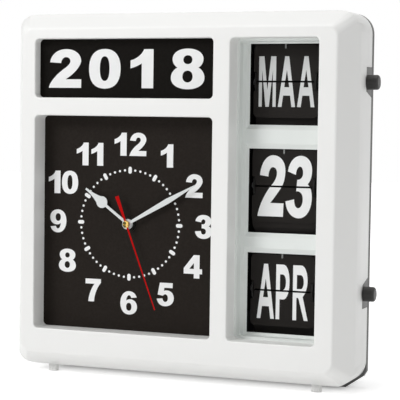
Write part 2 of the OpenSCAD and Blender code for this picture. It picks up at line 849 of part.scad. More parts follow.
module movement_back() {
  pivot_y = back_y - pivot_l;
  color("#2b2b2b") place() at_hands() difference() {
    union() {
      deep(back_y, back_y + move_wall) rounded(-move_w / 2, bay_z, move_w / 2, move_up, 2 * move_wall);
      deep(pivot_y, back_y + through / 2) circle(4 * second_r);
      back_stud(third_pinion_at, third_c, third_stud_r);
      back_stud(drive_pinion_at, drive_c, rotor_stud_r);
      back_stud(magnet_at, rotor_c, rotor_stud_r);
    }
    deep(pivot_y - through, back_y - pass_gap) circle(second_r + run_gap);
    deep(back_y - through, back_y + move_wall + through) translate(set_c) circle(set_shaft_r + run_gap);
  }
}

module hand_nut() {
  color("#c8a050") place() at_hands() deep(nut_y, nut_y + nut_t) difference() {
    circle(nose_r + nut_rim, $fn = 6);
    circle(nose_r + run_gap);
  }
}

module hand_washer() {
  color("#c8a050") place() at_hands()
    deep(nut_y + nut_t, dial_depth) ring(nose_r + washer_rim, nose_r + run_gap);
}

// Pear-shaped end of the hour hand, narrowing in a hollow curve
module hour_bulb() {
  steps = 12;
  hollow = 2.2;
  side = [for (i = [0 : steps]) let (t = i / steps)
    [hour_tip / 2 + (bulb_r - hour_tip / 2) * pow(1 - t, hollow), hour_len - bulb_back * (1 - t)]];
  translate([0, hour_len - bulb_back]) circle(bulb_r);
  polygon(concat(side, [for (i = [steps : -1 : 0]) [-side[i][0], side[i][1]]]));
}

module hour_hand() {
  color("#dfe3e2") place() at_hands() rotate([0, hour_angle, 0]) difference() {
    union() {
      deep(hour_y, hour_y + hand_t) {
        circle(hand_hub_r);
        translate([-hour_stem / 2, 0]) square([hour_stem, hour_len - bulb_back]);
        hour_bulb();
      }
      deep(hour_y, hour_y + hand_t + hub_d) circle(hand_hub_r);
    }
    deep(hour_y - through, hour_y + hand_t + hub_d + through) circle(hour_tube_r + fit_gap);
  }
}

module minute_hand() {
  wide_z = minute_len - minute_taper;
  color("#dfe3e2") place() at_hands() rotate([0, minute_angle, 0]) difference() {
    union() {
      deep(minute_y, minute_y + hand_t) polygon([
        [-minute_stem / 2, 0],
        [-minute_wide / 2, wide_z],
        [-minute_tip / 2, minute_len],
        [minute_tip / 2, minute_len],
        [minute_wide / 2, wide_z],
        [minute_stem / 2, 0]
      ]);
      deep(minute_y, minute_y + hand_t + hub_d) circle(hand_hub_r);
    }
    deep(minute_y - through, minute_y + hand_t + hub_d + through) circle(minute_tube_r + fit_gap);
  }
}

module second_hand() {
  needle_tip = 0.6 * second_needle;
  color("#cc0000") place() at_hands() rotate([0, second_angle, 0])
    deep(second_y, second_y + hand_t) difference() {
      union() {
        circle(boss_r);
        polygon([
          [-second_needle / 2, 0],
          [-needle_tip / 2, second_len],
          [needle_tip / 2, second_len],
          [second_needle / 2, 0],
          [tail_w / 2, -second_tail],
          [-tail_w / 2, -second_tail]
        ]);
      }
      circle(boss_r / 2 + fit_gap);
    }
}

module second_boss() {
  cap_d = 0.9;
  color("#c8a050") place() at_hands() difference() {
    union() {
      deep(second_y - cap_d, second_y) circle(boss_r);
      deep(second_y - cap_d, second_y + 2 * hand_t) circle(boss_r / 2);
    }
    deep(second_y - cap_d / 2, second_y + 2 * hand_t + through) circle(second_r + fit_gap);
  }
}

module hour_wheel() {
  color("#e8e4da") place() at_hands() {
    gear(hour_teeth, motion_m, hour_phase, hour_gear_at, minute_tube_r + run_gap);
    deep(hour_y - pass_gap, floor_y + hour_gear_at[1]) ring(hour_tube_r, minute_tube_r + run_gap);
  }
}

module minute_arbor() {
  color("#c8a050") place() at_hands() {
    gear(cannon_teeth, motion_m, 0, cannon_at, second_r + run_gap);
    deep(minute_y - pass_gap, floor_y + third_pinion_at[1]) ring(minute_tube_r, second_r + run_gap);
  }
}

module second_arbor() {
  color("#b0b3b5") place() at_hands() {
    deep(second_y - pass_gap, back_y - 2 * pass_gap) circle(second_r);
    gear(second_teeth, third_m, 0, second_pinion_at, second_r / 2);
    gear(second_wheel_teeth, rotor_m, 0, second_wheel_at, second_r / 2);
  }
}

module minute_wheel() {
  bore = idler_stud_r + run_gap;
  color("#e8e4da") place() at_hands() translate([idler_c[0], 0, idler_c[1]]) {
    gear(idler_pinion_teeth, motion_m, 0, idler_pinion_at, bore);
    gear(idler_teeth, motion_m, idler_phase, idler_wheel_at, bore);
    deep(floor_y + idler_pinion_at[0], floor_y + idler_wheel_at[1]) ring(motion_m * 3, bore);
  }
}

module third_wheel() {
  bore = third_stud_r + run_gap;
  color("#e8e4da") place() at_hands() translate([third_c[0], 0, third_c[1]]) {
    gear(second_teeth, clutch_m, 0, third_pinion_at, bore);
    gear(third_teeth, third_m, third_phase, third_wheel_at, bore);
    deep(floor_y + third_pinion_at[0], floor_y + third_wheel_at[1]) ring(clutch_m * 3, bore);
  }
}

module clutch_wheel() {
  color("#e8e4da") place() at_hands()
    gear(clutch_teeth, clutch_m, clutch_phase, clutch_at, minute_tube_r + run_gap);
}

module drive_wheel() {
  bore = rotor_stud_r + run_gap;
  color("#e8e4da") place() at_hands() translate([drive_c[0], 0, drive_c[1]]) {
    gear(drive_pinion_teeth, rotor_m, drive_phase, drive_pinion_at, bore);
    gear(drive_teeth, rotor_m, 0, drive_wheel_at, bore);
    deep(floor_y + drive_pinion_at[0], floor_y + drive_wheel_at[1]) ring(rotor_m * 3, bore);
  }
}

module rotor() {
  bore = rotor_stud_r + run_gap;
  color("#55585a") place() at_hands() translate([rotor_c[0], 0, rotor_c[1]]) {
    gear(rotor_teeth, rotor_m, rotor_phase, rotor_pinion_at, bore);
    deep(floor_y + magnet_at[0], floor_y + magnet_at[1]) ring(magnet_r, bore);
  }
}

module coil() {
  cheek_t = 1.2;
  cheek_rim = 0.2;
  coil_lift = 2;
  cheek_h = 2 * (coil_r + cheek_rim);
  coil_y = floor_y + coil_r + coil_lift;
  color("#a5622d") place() at_hands() translate([0, 0, coil_z]) {
    translate([0, coil_y, 0]) rotate([0, 90, 0]) cylinder(r = coil_r, h = coil_l, center = true);
    for (s = [-1, 1]) across(s * coil_l / 2 - cheek_t / 2, s * coil_l / 2 + cheek_t / 2)
      translate([floor_y, -cheek_h / 2]) square([2 * coil_r + coil_lift + cheek_rim, cheek_h]);
  }
}

module circuit_board() {
  color("#2f6b3a") place() at_hands() deep(floor_y + board_at[0], floor_y + board_at[1])
    translate([-board_w / 2, board_low]) square([board_w, move_up - move_wall - pass_gap - board_low]);
}

module set_knob() {
  color("#33312f") place() at_hands() translate([set_c[0], 0, set_c[1]]) {
    gear(cannon_teeth, motion_m, set_phase, idler_wheel_at, set_shaft_r / 2);
    deep(floor_y + 2 * pass_gap, back_y + move_wall + set_d) circle(set_shaft_r);
    deep(back_y + move_wall + through, back_y + move_wall + through + set_d) difference() {
      circle(set_r);
      for (i = [1 : grip_count]) translate(polar(set_r + grip_r / 2, i * 360 / grip_count)) circle(grip_r);
    }
  }
}

module battery() {
  button_l = 1;
  button_r = 2.75;
  color("#b9bcc0") place() at_hands() translate([-battery_l / 2, battery_y, battery_z]) rotate([0, 90, 0]) {
    cylinder(r = battery_r, h = battery_l - button_l);
    cylinder(r = button_r, h = battery_l);
  }
}

module battery_contacts() {
  blade_t = 0.4;
  inner = bay_w / 2 - move_wall;
  gap = inner - blade_t - battery_l / 2 - pass_gap;
  color("#d0d2d4") place() at_hands() for (m = [0, 1])
    mirror([m, 0, 0]) translate([inner, battery_y, battery_z]) {
      across(-blade_t, 0) translate([-battery_r / 2, -battery_r / 2]) square(battery_r);
      across(-blade_t - gap, -blade_t) circle(battery_r / 3);
    }
}

module battery_door() {
  plate_y = case_d - cover_t;
  pull_w = 18;
  pull_h = 6;
  color("#4a4a48") place() difference() {
    deep(plate_y + pass_gap, case_d) door_outline(-pass_gap);
    translate([dial_x, 0, dial_z - door_drop + door_h / 2 - 2 * pull_h])
      deep(case_d - cover_t / 2, case_d + through)
        rounded(-pull_w / 2, -pull_h / 2, pull_w / 2, pull_h / 2, pull_h / 3);
  }
}

// Side plate of the drums; side is -1 on the left, where the link gears' studs stand, and 1 on the right
module side_plate(side) {
  difference() {
    union() {
      across(side > 0 ? plate_x : -plate_x - plate_t, side > 0 ? plate_x + plate_t : -plate_x)
        rounded(frame_rear, month_z - plate_end, plate_rear, weekday_z + plate_end + plate_tab_half,
          plate_corner_r);
      for (z = plate_tabs) deep(frame_rear, frame_rear + plate_tab_t)
        translate([side > 0 ? plate_x : -recess_w / 2, z - plate_tab_half])
          square([recess_w / 2 - plate_x, 2 * plate_tab_half]);
      if (side < 0) across(gear_x0 - pass_gap, -plate_x - plate_t / 2)
        for (z = [link_a_z, link_b_z, link_c_z]) translate([drum_y, z]) circle(link_stud_r);
    }
    across(-recess_w, recess_w) {
      for (z = [weekday_z, date_z, month_z]) translate([drum_y, z]) circle(shaft_r + run_gap);
      for (z = rods) translate([rod_y, z]) circle(rod_r + fit_gap);
    }
    deep(frame_rear - through, frame_rear + plate_tab_t + through)
      for (z = plate_tabs) translate([side * plate_tab_x, z]) circle(tab_screw_r + run_gap);
  }
}

module left_plate() {
  color("#9a9da0") place() translate([calendar_x, 0, 0]) side_plate(-1);
}

module right_plate() {
  color("#9a9da0") place() translate([calendar_x, 0, 0]) side_plate(1);
}

module tie_rods() {
  half = plate_x + plate_t;
  color("#8a8c8e") place() translate([calendar_x, 0, 0]) across(-half, half)
    for (z = rods) translate([rod_y, z]) circle(rod_r);
}

// Shaft of a drum, in the drum's own frame
module shaft(axis_z, x0, x1) {
  color("#b0b3b5") place() across(x0, x1) translate([drum_y, axis_z]) circle(shaft_r);
}

module spool(axis_z, count) {
  step = 360 / count;
  color("#3a3836") place() translate([calendar_x, 0, axis_z]) {
    across(-disc_x, disc_x) translate([drum_y, 0]) ring(hub_r, shaft_r + fit_gap);
    for (x = [-disc_x - disc_t, disc_x]) across(x, x + disc_t) difference() {
      translate([drum_y, 0]) circle(disc_r);
      translate([drum_y, 0]) circle(shaft_r + fit_gap);
      for (i = [0 : count - 1]) translate(pin_at((i + 0.5) * step)) circle(pin_hole);
    }
  }
}

// Flat blank of a flap standing up from its hinge, which is at height 0
module flap_blank(count, notch_top) {
  top = flap_reach - hinge_up(count);
  over = hinge_up(count) - flap_gap / 2;
  translate([-flap_inner, -over]) square([2 * flap_inner, notch_top + over + through]);
  translate([-flap_w / 2, notch_top]) square([flap_w, top - flap_r - notch_top]);
  translate([flap_r - flap_w / 2, notch_top]) square([flap_w - 2 * flap_r, top - notch_top]);
  for (x = [flap_r - flap_w / 2, flap_w / 2 - flap_r]) translate([x, top - flap_r]) circle(flap_r);
}

// One flap of the display, on the hinge hole at an angle above the front; way is 1 up and -1 hanging
module flap(axis_z, count, angle, way) {
  pin = pin_at(angle);
  ear_x = disc_x + disc_t;
  color("#221f1d") place() translate([calendar_x, pin[0], axis_z + pin[1]])
    rotate([way > 0 ? 0 : 180, 0, 0]) deep(-flap_t / 2, flap_t / 2) {
      flap_blank(count, notch_h - hinge_up(count));
      translate([-ear_x, -ear_h / 2]) square([2 * ear_x, ear_h]);
    }
}

// The other flaps of a display: those that stand behind the upper flap and hang behind the lower one
module pack(axis_z, count) {
  step = 360 / count;
  stand_limit = 92;
  hang_limit = 150;
  notch_top = sqrt(pow(disc_r + pass_gap, 2) - pow(pin_circle, 2));
  color("#221f1d") place() translate([calendar_x, 0, axis_z]) {
    for (a = [2.5 * step : step : stand_limit]) let (p = pin_at(a))
      translate([0, p[0], p[1]]) deep(-flap_t / 2, flap_t / 2) flap_blank(count, notch_top);
    for (a = [2.5 * step : step : hang_limit]) let (p = pin_at(-a))
      translate([0, p[0], p[1]]) rotate([180, 0, 0])
        deep(-flap_t / 2, flap_t / 2) flap_blank(count, notch_top);
  }
}

// Leaf spring on the frame's rear face that holds the upper flap's free edge
module finger(axis_z) {
  low = axis_z + flap_reach - finger_catch;
  seat = axis_z + window_up + sill_lip;
  seat_h = 3;
  color("#c9cdc9") place() translate([calendar_x, 0, 0]) {
    deep(finger_y, finger_y + finger_t)
      translate([-finger_w / 2, low]) square([finger_w, seat + seat_h - low]);
    deep(frame_rear, finger_y + finger_t)
      translate([-finger_w, seat]) square([2 * finger_w, seat_h]);
  }
}

module knob(axis_z) {
  length = knob_out - knob_gap;
  color("#33312f") place() translate([half_w + knob_gap, drum_y, axis_z]) rotate([0, 90, 0]) difference() {
    rotate_extrude() {
      square([knob_r - knob_edge, length]);
      square([knob_r, length - knob_edge]);
      translate([knob_r - knob_edge, length - knob_edge]) circle(knob_edge);
    }
    translate([0, 0, -through]) cylinder(r = shaft_r + fit_gap, h = shaft_in_knob + through);
  }
}

module train_gear(axis_z, teeth, phase, bore) {
  color("#e8e4da") place() translate([calendar_x, 0, 0]) across(gear_x0, gear_x1)
    translate([drum_y, axis_z]) difference() {
      gear_outline(teeth, train_m, phase);
      circle(bore);
    }
}

shaft_left = calendar_x + gear_x0 - pass_gap;
shaft_plain = calendar_x - plate_x - plate_t;
shaft_right = calendar_x + plate_x + plate_t;
shaft_knob = half_w + knob_gap + shaft_in_knob - pass_gap;

module weekday_shaft() shaft(weekday_z, shaft_left, shaft_knob);
module date_shaft() shaft(date_z, shaft_left, shaft_right);
module month_shaft() shaft(month_z, shaft_plain, shaft_knob);
module weekday_spool() spool(weekday_z, weekday_count);
module date_spool() spool(date_z, date_count);
module month_spool() spool(month_z, month_count);
module weekday_upper_flap() flap(weekday_z, weekday_count, 180 / weekday_count, 1);
module weekday_next_flap() flap(weekday_z, weekday_count, 540 / weekday_count, 1);
module weekday_lower_flap() flap(weekday_z, weekday_count, -180 / weekday_count, -1);
module weekday_pack() pack(weekday_z, weekday_count);
module weekday_finger() finger(weekday_z);
module date_upper_flap() flap(date_z, date_count, 180 / date_count, 1);
module date_next_flap() flap(date_z, date_count, 540 / date_count, 1);
module date_lower_flap() flap(date_z, date_count, -180 / date_count, -1);
module date_pack() pack(date_z, date_count);
module date_finger() finger(date_z);
module month_upper_flap() flap(month_z, month_count, 180 / month_count, 1);
module month_next_flap() flap(month_z, month_count, 540 / month_count, 1);
module month_lower_flap() flap(month_z, month_count, -180 / month_count, -1);
module month_pack() pack(month_z, month_count);
module month_finger() finger(month_z);
module day_knob() knob(weekday_z);
module month_knob() knob(month_z);
module day_gear() train_gear(weekday_z, day_teeth, 0, shaft_r + fit_gap);
module link_gear_a() train_gear(link_a_z, link_teeth, link_a_phase, link_stud_r + run_gap);
module link_gear_b() train_gear(link_b_z, link_teeth, link_b_phase, link_stud_r + run_gap);
module link_gear_c() train_gear(link_c_z, link_teeth, link_c_phase, link_stud_r + run_gap);
module date_gear() train_gear(date_z, date_teeth, date_phase, shaft_r + fit_gap);

front_housing();
rear_cover();
cover_screws();
inner_screws();
year_card();
dial_plate();
calendar_frame();
movement_case();
movement_back();
hand_nut();
hand_washer();
hour_hand();
minute_hand();
second_hand();
second_boss();
hour_wheel();
minute_arbor();
second_arbor();
minute_wheel();
third_wheel();
clutch_wheel();
drive_wheel();
rotor();
coil();
circuit_board();
set_knob();
battery();
battery_contacts();
battery_door();
left_plate();
right_plate();
tie_rods();
weekday_shaft();
weekday_spool();
weekday_upper_flap();
weekday_next_flap();
weekday_lower_flap();
weekday_pack();
weekday_finger();
date_shaft();
date_spool();
date_upper_flap();
date_next_flap();
date_lower_flap();
date_pack();
date_finger();
month_shaft();
month_spool();
month_upper_flap();
month_next_flap();
month_lower_flap();
month_pack();
month_finger();
day_knob();
month_knob();
day_gear();
link_gear_a();
link_gear_b();
link_gear_c();
date_gear();
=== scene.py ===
import json
import math

import bmesh
import bpy
from mathutils import Matrix, Vector


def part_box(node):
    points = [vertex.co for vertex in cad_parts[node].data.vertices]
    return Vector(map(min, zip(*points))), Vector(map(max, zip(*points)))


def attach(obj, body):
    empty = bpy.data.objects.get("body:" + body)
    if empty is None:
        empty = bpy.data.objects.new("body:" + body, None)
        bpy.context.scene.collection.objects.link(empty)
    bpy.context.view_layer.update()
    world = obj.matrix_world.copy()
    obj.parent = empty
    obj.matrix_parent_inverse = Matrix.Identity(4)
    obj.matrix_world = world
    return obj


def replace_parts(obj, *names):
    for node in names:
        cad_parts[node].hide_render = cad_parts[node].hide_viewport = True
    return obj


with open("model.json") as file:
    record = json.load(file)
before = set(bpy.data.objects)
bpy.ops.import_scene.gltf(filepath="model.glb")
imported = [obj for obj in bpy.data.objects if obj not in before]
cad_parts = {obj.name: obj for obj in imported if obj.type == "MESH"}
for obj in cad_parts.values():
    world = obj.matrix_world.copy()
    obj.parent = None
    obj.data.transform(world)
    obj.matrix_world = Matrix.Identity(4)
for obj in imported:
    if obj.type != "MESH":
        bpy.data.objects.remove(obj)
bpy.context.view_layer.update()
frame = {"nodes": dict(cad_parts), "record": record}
nodes = frame["nodes"]
mm = 0.001
hair = 0.01 * mm  # points closer than this count as one
seam = 0.0001 * mm  # the same for prints and small turned pieces
turns = {"flat": 0.5, "front": 12, "edge": 25, "shading": 35}  # degrees between faces
scene = bpy.context.scene


def middle(node):
    low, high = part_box(node)
    return (low + high) / 2


# Camera at the height and angle of a shelf view, a little to the right of the clock
cameraView = {
    "target": (20.1, -31.0, 153.2),  # mm
    "azimuth": 21.367,  # degrees to the right
    "elevation": 3.118,
    "roll": 0.783,
    "distance": 1212.37,  # mm
    "lens": 134.869,
    "sensor": 36.0,
    "nearest": 10.0,  # mm
}


def addCamera(view):
    angles = ("azimuth", "elevation", "roll")
    azimuth, elevation, roll = (math.radians(view[angle]) for angle in angles)
    level = math.cos(elevation)
    back = Vector((math.sin(azimuth) * level, -math.cos(azimuth) * level, math.sin(elevation)))
    across = (-back).cross(Vector((0, 0, 1))).normalized()
    upright = across.cross(-back)
    right = across * math.cos(roll) + upright * math.sin(roll)
    up = upright * math.cos(roll) - across * math.sin(roll)
    data = bpy.data.cameras.new("shelfCamera")
    data.lens = view["lens"]
    data.sensor_width = view["sensor"]
    data.clip_start = view["nearest"] * mm
    camera = bpy.data.objects.new("shelfCamera", data)
    camera.matrix_world = Matrix((right, up, back)).transposed().to_4x4()
    camera.location = (Vector(view["target"]) + back * view["distance"]) * mm
    scene.collection.objects.link(camera)
    scene.camera = camera


addCamera(cameraView)
print("camera placed")


# Node building: one call adds a node, sets its options and fills or links its inputs
def addNode(tree, kind, inputs=None, **options):
    node = tree.nodes.new(kind)
    for key, value in options.items():
        setattr(node, key, value)
    for key, value in (inputs or {}).items():
        fill(tree, node.inputs[key], value)
    return node


def fill(tree, socket, value):
    if isinstance(value, bpy.types.NodeSocket):
        tree.links.new(value, socket)
    else:
        socket.default_value = value


def math1(tree, operation, a, b=0.0, c=0.0, clamp=False):
    inputs = {0: a, 1: b, 2: c}
    return addNode(tree, "ShaderNodeMath", inputs, operation=operation, use_clamp=clamp).outputs[0]


# A value that sways by the spread round its middle
def sway(tree, value, spread, level):
    return math1(tree, "MULTIPLY_ADD", math1(tree, "SUBTRACT", value, 0.5), spread, level)


def mixColor(tree, factor, a, b):
    inputs = {"Factor": factor, "A": a, "B": b}
    return addNode(tree, "ShaderNodeMix", inputs, data_type="RGBA").outputs["Result"]


def noise(tree, vector, scale, detail=3.0, roughness=0.55):
    inputs = {"Vector": vector, "Scale": scale, "Detail": detail, "Roughness": roughness}
    return addNode(tree, "ShaderNodeTexNoise", inputs).outputs["Fac"]


def objectCoords(tree):
    return addNode(tree, "ShaderNodeTexCoord").outputs["Object"]


def objectSpot(tree):
    return addNode(tree, "ShaderNodeSeparateXYZ", {0: objectCoords(tree)}).outputs


def newGroup(name, inputs, outputs):
    tree = bpy.data.node_groups.new(name, "ShaderNodeTree")
    newSocket = tree.interface.new_socket
    for label, kind, value in inputs:
        socket = newSocket(name=label, in_out="INPUT", socket_type="NodeSocket" + kind)
        socket.default_value = value
    for label, kind in outputs:
        newSocket(name=label, in_out="OUTPUT", socket_type="NodeSocket" + kind)
    given = tree.nodes.new("NodeGroupInput").outputs
    return tree, given, tree.nodes.new("NodeGroupOutput").inputs


white = (1.0, 1.0, 1.0, 1.0)
surfaceOutputs = [("Color", "Color"), ("Roughness", "Float"), ("Height", "Float")]


# Moulded skin: cloudy tone, uneven gloss and a fine spark-eroded grain
def makeMoldedSkin():
    tree, given, result = newGroup(
        "moldedSkin",
        [
            ("Color", "Color", white), ("Shade", "Color", white),
            ("Mottle Scale", "Float", 14.0), ("Grain Scale", "Float", 1500.0),
            ("Roughness", "Float", 0.4), ("Spread", "Float", 0.1),
        ],
        surfaceOutputs,
    )
    coords = objectCoords(tree)
    finer = 9.0  # swirls to one mottle
    mottle = noise(tree, coords, given["Mottle Scale"], detail=4.0)
    grain = noise(tree, coords, given["Grain Scale"], detail=2.0)
    swirlScale = math1(tree, "MULTIPLY", given["Mottle Scale"], finer)
    swirl = noise(tree, coords, swirlScale, detail=2.0)
    fill(tree, result["Color"], mixColor(tree, mottle, given["Color"], given["Shade"]))
    fill(tree, result["Roughness"], sway(tree, swirl, given["Spread"], given["Roughness"]))
    fill(tree, result["Height"], grain)
    return tree


# Rubbed edges with painted highlight: a mask that rises where the surface turns sharply, broken up
# by noise; it pales the edges, partly as wear and partly as painted sheen
def makeEdgeRub():
    tree, given, result = newGroup(
        "edgeRubAndSheen",
        [("Radius", "Float", 0.0006), ("Gain", "Float", 2.0), ("Breakup", "Float", 160.0)],
        [("Mask", "Float")],
    )
    rounded = addNode(tree, "ShaderNodeBevel", {"Radius": given["Radius"]}, samples=4)
    flat = addNode(tree, "ShaderNodeNewGeometry").outputs["Normal"]
    normals = {0: rounded.outputs["Normal"], 1: flat}
    dot = addNode(tree, "ShaderNodeVectorMath", normals, operation="DOT_PRODUCT").outputs["Value"]
    turn = math1(tree, "MULTIPLY", math1(tree, "SUBTRACT", 1.0, dot), given["Gain"], clamp=True)
    patches = noise(tree, objectCoords(tree), given["Breakup"], detail=3.0)
    fill(tree, result["Mask"], math1(tree, "MULTIPLY", turn, patches, clamp=True))
    return tree


# Dust: settles on faces that look up, in uneven drifts
def makeDustFall():
    tree, given, result = newGroup(
        "dustFall",
        [("Amount", "Float", 0.1), ("Scale", "Float", 60.0)],
        [("Mask", "Float")],
    )
    normal = addNode(tree, "ShaderNodeNewGeometry").outputs["Normal"]
    facing = addNode(tree, "ShaderNodeSeparateXYZ", {0: normal}).outputs["Z"]
    up = math1(tree, "POWER", math1(tree, "MAXIMUM", facing, 0.0), 2.0)
    drift = noise(tree, objectCoords(tree), given["Scale"], detail=6.0, roughness=0.7)
    settled = math1(tree, "MULTIPLY", up, drift)
    fill(tree, result["Mask"], math1(tree, "MULTIPLY", settled, given["Amount"], clamp=True))
    return tree


# Drawn metal: long fine streaks along one axis
def makeDrawnMetal():
    tree, given, result = newGroup(
        "drawnMetal",
        [
            ("Color", "Color", white), ("Tarnish", "Color", white),
            ("Stretch", "Vector", (1.0, 1.0, 1.0)), ("Scale", "Float", 900.0),
            ("Roughness", "Float", 0.3), ("Spread", "Float", 0.15),
        ],
        surfaceOutputs,
    )
    coords = objectCoords(tree)
    cloudScale, tarnishShare = 220.0, 0.6
    factors = {0: coords, 1: given["Stretch"]}
    pulled = addNode(tree, "ShaderNodeVectorMath", factors, operation="MULTIPLY").outputs["Vector"]
    streak = noise(tree, pulled, given["Scale"], detail=4.0)
    cloud = noise(tree, coords, cloudScale, detail=4.0)
    dulled = math1(tree, "MULTIPLY", cloud, tarnishShare)
    fill(tree, result["Color"], mixColor(tree, dulled, given["Color"], given["Tarnish"]))
    fill(tree, result["Roughness"], sway(tree, streak, given["Spread"], given["Roughness"]))
    fill(tree, result["Height"], streak)
    return tree


# Printed card: fibre flecks under a matt black print
def makePrintedCard():
    tree, given, result = newGroup(
        "printedCard",
        [
            ("Color", "Color", white), ("Fleck", "Color", white),
            ("Fleck Scale", "Float", 700.0), ("Roughness", "Float", 0.6),
        ],
        surfaceOutputs,
    )
    coords = objectCoords(tree)
    cloudScale, cloudRough, finer = 30.0, 0.12, 2.0
    cells = {"Vector": coords, "Scale": given["Fleck Scale"]}
    fibers = addNode(tree, "ShaderNodeTexVoronoi", cells).outputs["Distance"]
    cloud = noise(tree, coords, cloudScale, detail=5.0)
    share = math1(tree, "MULTIPLY", fibers, cloud)
    toothScale = math1(tree, "MULTIPLY", given["Fleck Scale"], finer)
    rough = math1(tree, "MULTIPLY_ADD", cloud, cloudRough, given["Roughness"])
    fill(tree, result["Color"], mixColor(tree, share, given["Color"], given["Fleck"]))
    fill(tree, result["Roughness"], rough)
    fill(tree, result["Height"], noise(tree, coords, toothScale, detail=3.0))
    return tree


moldedSkin = makeMoldedSkin()
edgeRubAndSheen = makeEdgeRub()
dustFall = makeDustFall()
drawnMetal = makeDrawnMetal()
printedCard = makePrintedCard()
print("shared surface effects built")


def rgb(red, green, blue):
    return (red, green, blue, 1.0)


def newFinish(name, **constants):
    material = bpy.data.materials.new(name)
    material.use_nodes = True
    shader = material.node_tree.nodes["Principled BSDF"]
    for label, value in constants.items():
        shader.inputs[label.replace("_", " ")].default_value = value
    return material, material.node_tree, shader


# Keys of the looks below for the inputs of the shared effects
inputKeys = {
    "Color": "color", "Shade": "shade", "Tarnish": "tarnish", "Fleck": "fleck",
    "Mottle Scale": "mottle", "Grain Scale": "grain", "Fleck Scale": "fleckScale", "Scale": "scale",
    "Roughness": "roughness", "Spread": "spread", "Stretch": "stretch",
    "Radius": "rubAndSheenWidth", "Gain": "rubAndSheen", "Amount": "dust",
}


def useGroup(tree, group, look):
    node = tree.nodes.new("ShaderNodeGroup")
    node.node_tree = group
    for socket in node.inputs:
        key = inputKeys.get(socket.name)
        if key in look:
            socket.default_value = look[key]
    return node.outputs


def addBump(tree, shader, height, depth):
    bump = addNode(tree, "ShaderNodeBump", {"Strength": 1.0, "Distance": depth, "Height": height})
    tree.links.new(bump.outputs["Normal"], shader.inputs["Normal"])


# A moulded plastic with rubbed edges, partly painted edge highlight, and a trace of dust
def moldedPlastic(name, look):
    material, tree, shader = newFinish(name, Specular_IOR_Level=look["specular"], IOR=look["ior"])
    skin = useGroup(tree, moldedSkin, look)
    rubAndSheen = useGroup(tree, edgeRubAndSheen, look)
    dust = useGroup(tree, dustFall, look)
    # Paler edges: partly rubbed wear, partly painted highlight
    wornAndSheened = mixColor(tree, rubAndSheen["Mask"], skin["Color"], look["rubAndSheenColor"])
    dusty = mixColor(tree, dust["Mask"], wornAndSheened, look["dustColor"])
    rough = math1(tree, "MULTIPLY_ADD", dust["Mask"], look["dustRough"], skin["Roughness"])
    fill(tree, shader.inputs["Base Color"], dusty)
    fill(tree, shader.inputs["Roughness"], rough)
    addBump(tree, shader, skin["Height"], look["grainDepth"])
    return material


plasticBase = {
    "specular": 0.5, "ior": 1.53, "mottle": 14.0, "grain": 1500.0, "grainDepth": 0.00002,
    "spread": 0.1, "rubAndSheenWidth": 0.0006, "rubAndSheen": 1.0, "rubAndSheenColor": rgb(0.9, 0.9, 0.88), "dust": 0.0,
    "dustColor": rgb(0.5, 0.48, 0.44), "dustRough": 0.5,
}


def metalFinish(name, look):
    material, tree, shader = newFinish(name, Metallic=1.0)
    metal = useGroup(tree, drawnMetal, look)
    rubAndSheen = useGroup(tree, edgeRubAndSheen, look)
    # Paler edges: partly rubbed wear, partly painted highlight
    wornAndSheened = mixColor(tree, rubAndSheen["Mask"], metal["Color"], look["rubAndSheenColor"])
    fill(tree, shader.inputs["Base Color"], wornAndSheened)
    fill(tree, shader.inputs["Roughness"], metal["Roughness"])
    addBump(tree, shader, metal["Height"], look["depth"])
    return material


metalBase = {
    "stretch": (1.0, 1.0, 1.0), "scale": 900.0, "roughness": 0.3, "spread": 0.15,
    "depth": 0.00001, "rubAndSheenWidth": 0.0003, "rubAndSheen": 1.0, "rubAndSheenColor": rgb(0.9, 0.9, 0.9),
}


def cardFinish(name, look):
    material, tree, shader = newFinish(name, Specular_IOR_Level=look["specular"])
    card = useGroup(tree, printedCard, look)
    fill(tree, shader.inputs["Base Color"], card["Color"])
    fill(tree, shader.inputs["Roughness"], card["Roughness"])
    addBump(tree, shader, card["Height"], look["depth"])
    return material


finishes = {}

shellLook = {
    **plasticBase, "color": rgb(0.90, 0.90, 0.885), "shade": rgb(0.875, 0.875, 0.86),
    "roughness": 0.36, "dust": 0.06,
}
finishes["shell_white"] = moldedPlastic("shellWhite", shellLook)

frameLook = {
    **plasticBase, "color": rgb(0.85, 0.88, 0.86), "shade": rgb(0.80, 0.835, 0.81),
    "roughness": 0.45,
}
finishes["frame_white"] = moldedPlastic("frameWhite", frameLook)

flapLook = {
    **plasticBase, "color": rgb(0.0125, 0.0105, 0.009), "shade": rgb(0.009, 0.0075, 0.0065),
    "roughness": 0.5, "specular": 0.1, "rubAndSheen": 0.2, "rubAndSheenColor": rgb(0.05, 0.05, 0.046),
    "mottle": 40.0,
}
finishes["flap_black"] = moldedPlastic("flapBlack", flapLook)

drumLook = {**flapLook, "color": rgb(0.014, 0.0135, 0.0125), "shade": rgb(0.010, 0.0095, 0.009)}
finishes["drum_black"] = moldedPlastic("drumBlack", drumLook)

knobLook = {
    **plasticBase, "color": rgb(0.015, 0.014, 0.0135), "shade": rgb(0.021, 0.020, 0.019),
    "roughness": 0.4, "specular": 0.3, "rubAndSheen": 0.6, "rubAndSheenColor": rgb(0.12, 0.12, 0.115),
    "grain": 2200.0, "dust": 0.1,
}
finishes["knob_black"] = moldedPlastic("knobBlack", knobLook)

movementLook = {
    **knobLook, "roughness": 0.55, "color": rgb(0.02, 0.02, 0.02),
    "shade": rgb(0.028, 0.028, 0.028),
}
finishes["movement_black"] = moldedPlastic("movementBlack", movementLook)

gearLook = {
    **plasticBase, "color": rgb(0.78, 0.75, 0.66), "shade": rgb(0.70, 0.67, 0.58),
    "roughness": 0.42, "mottle": 80.0,
}
finishes["gear_plastic"] = moldedPlastic("gearPlastic", gearLook)

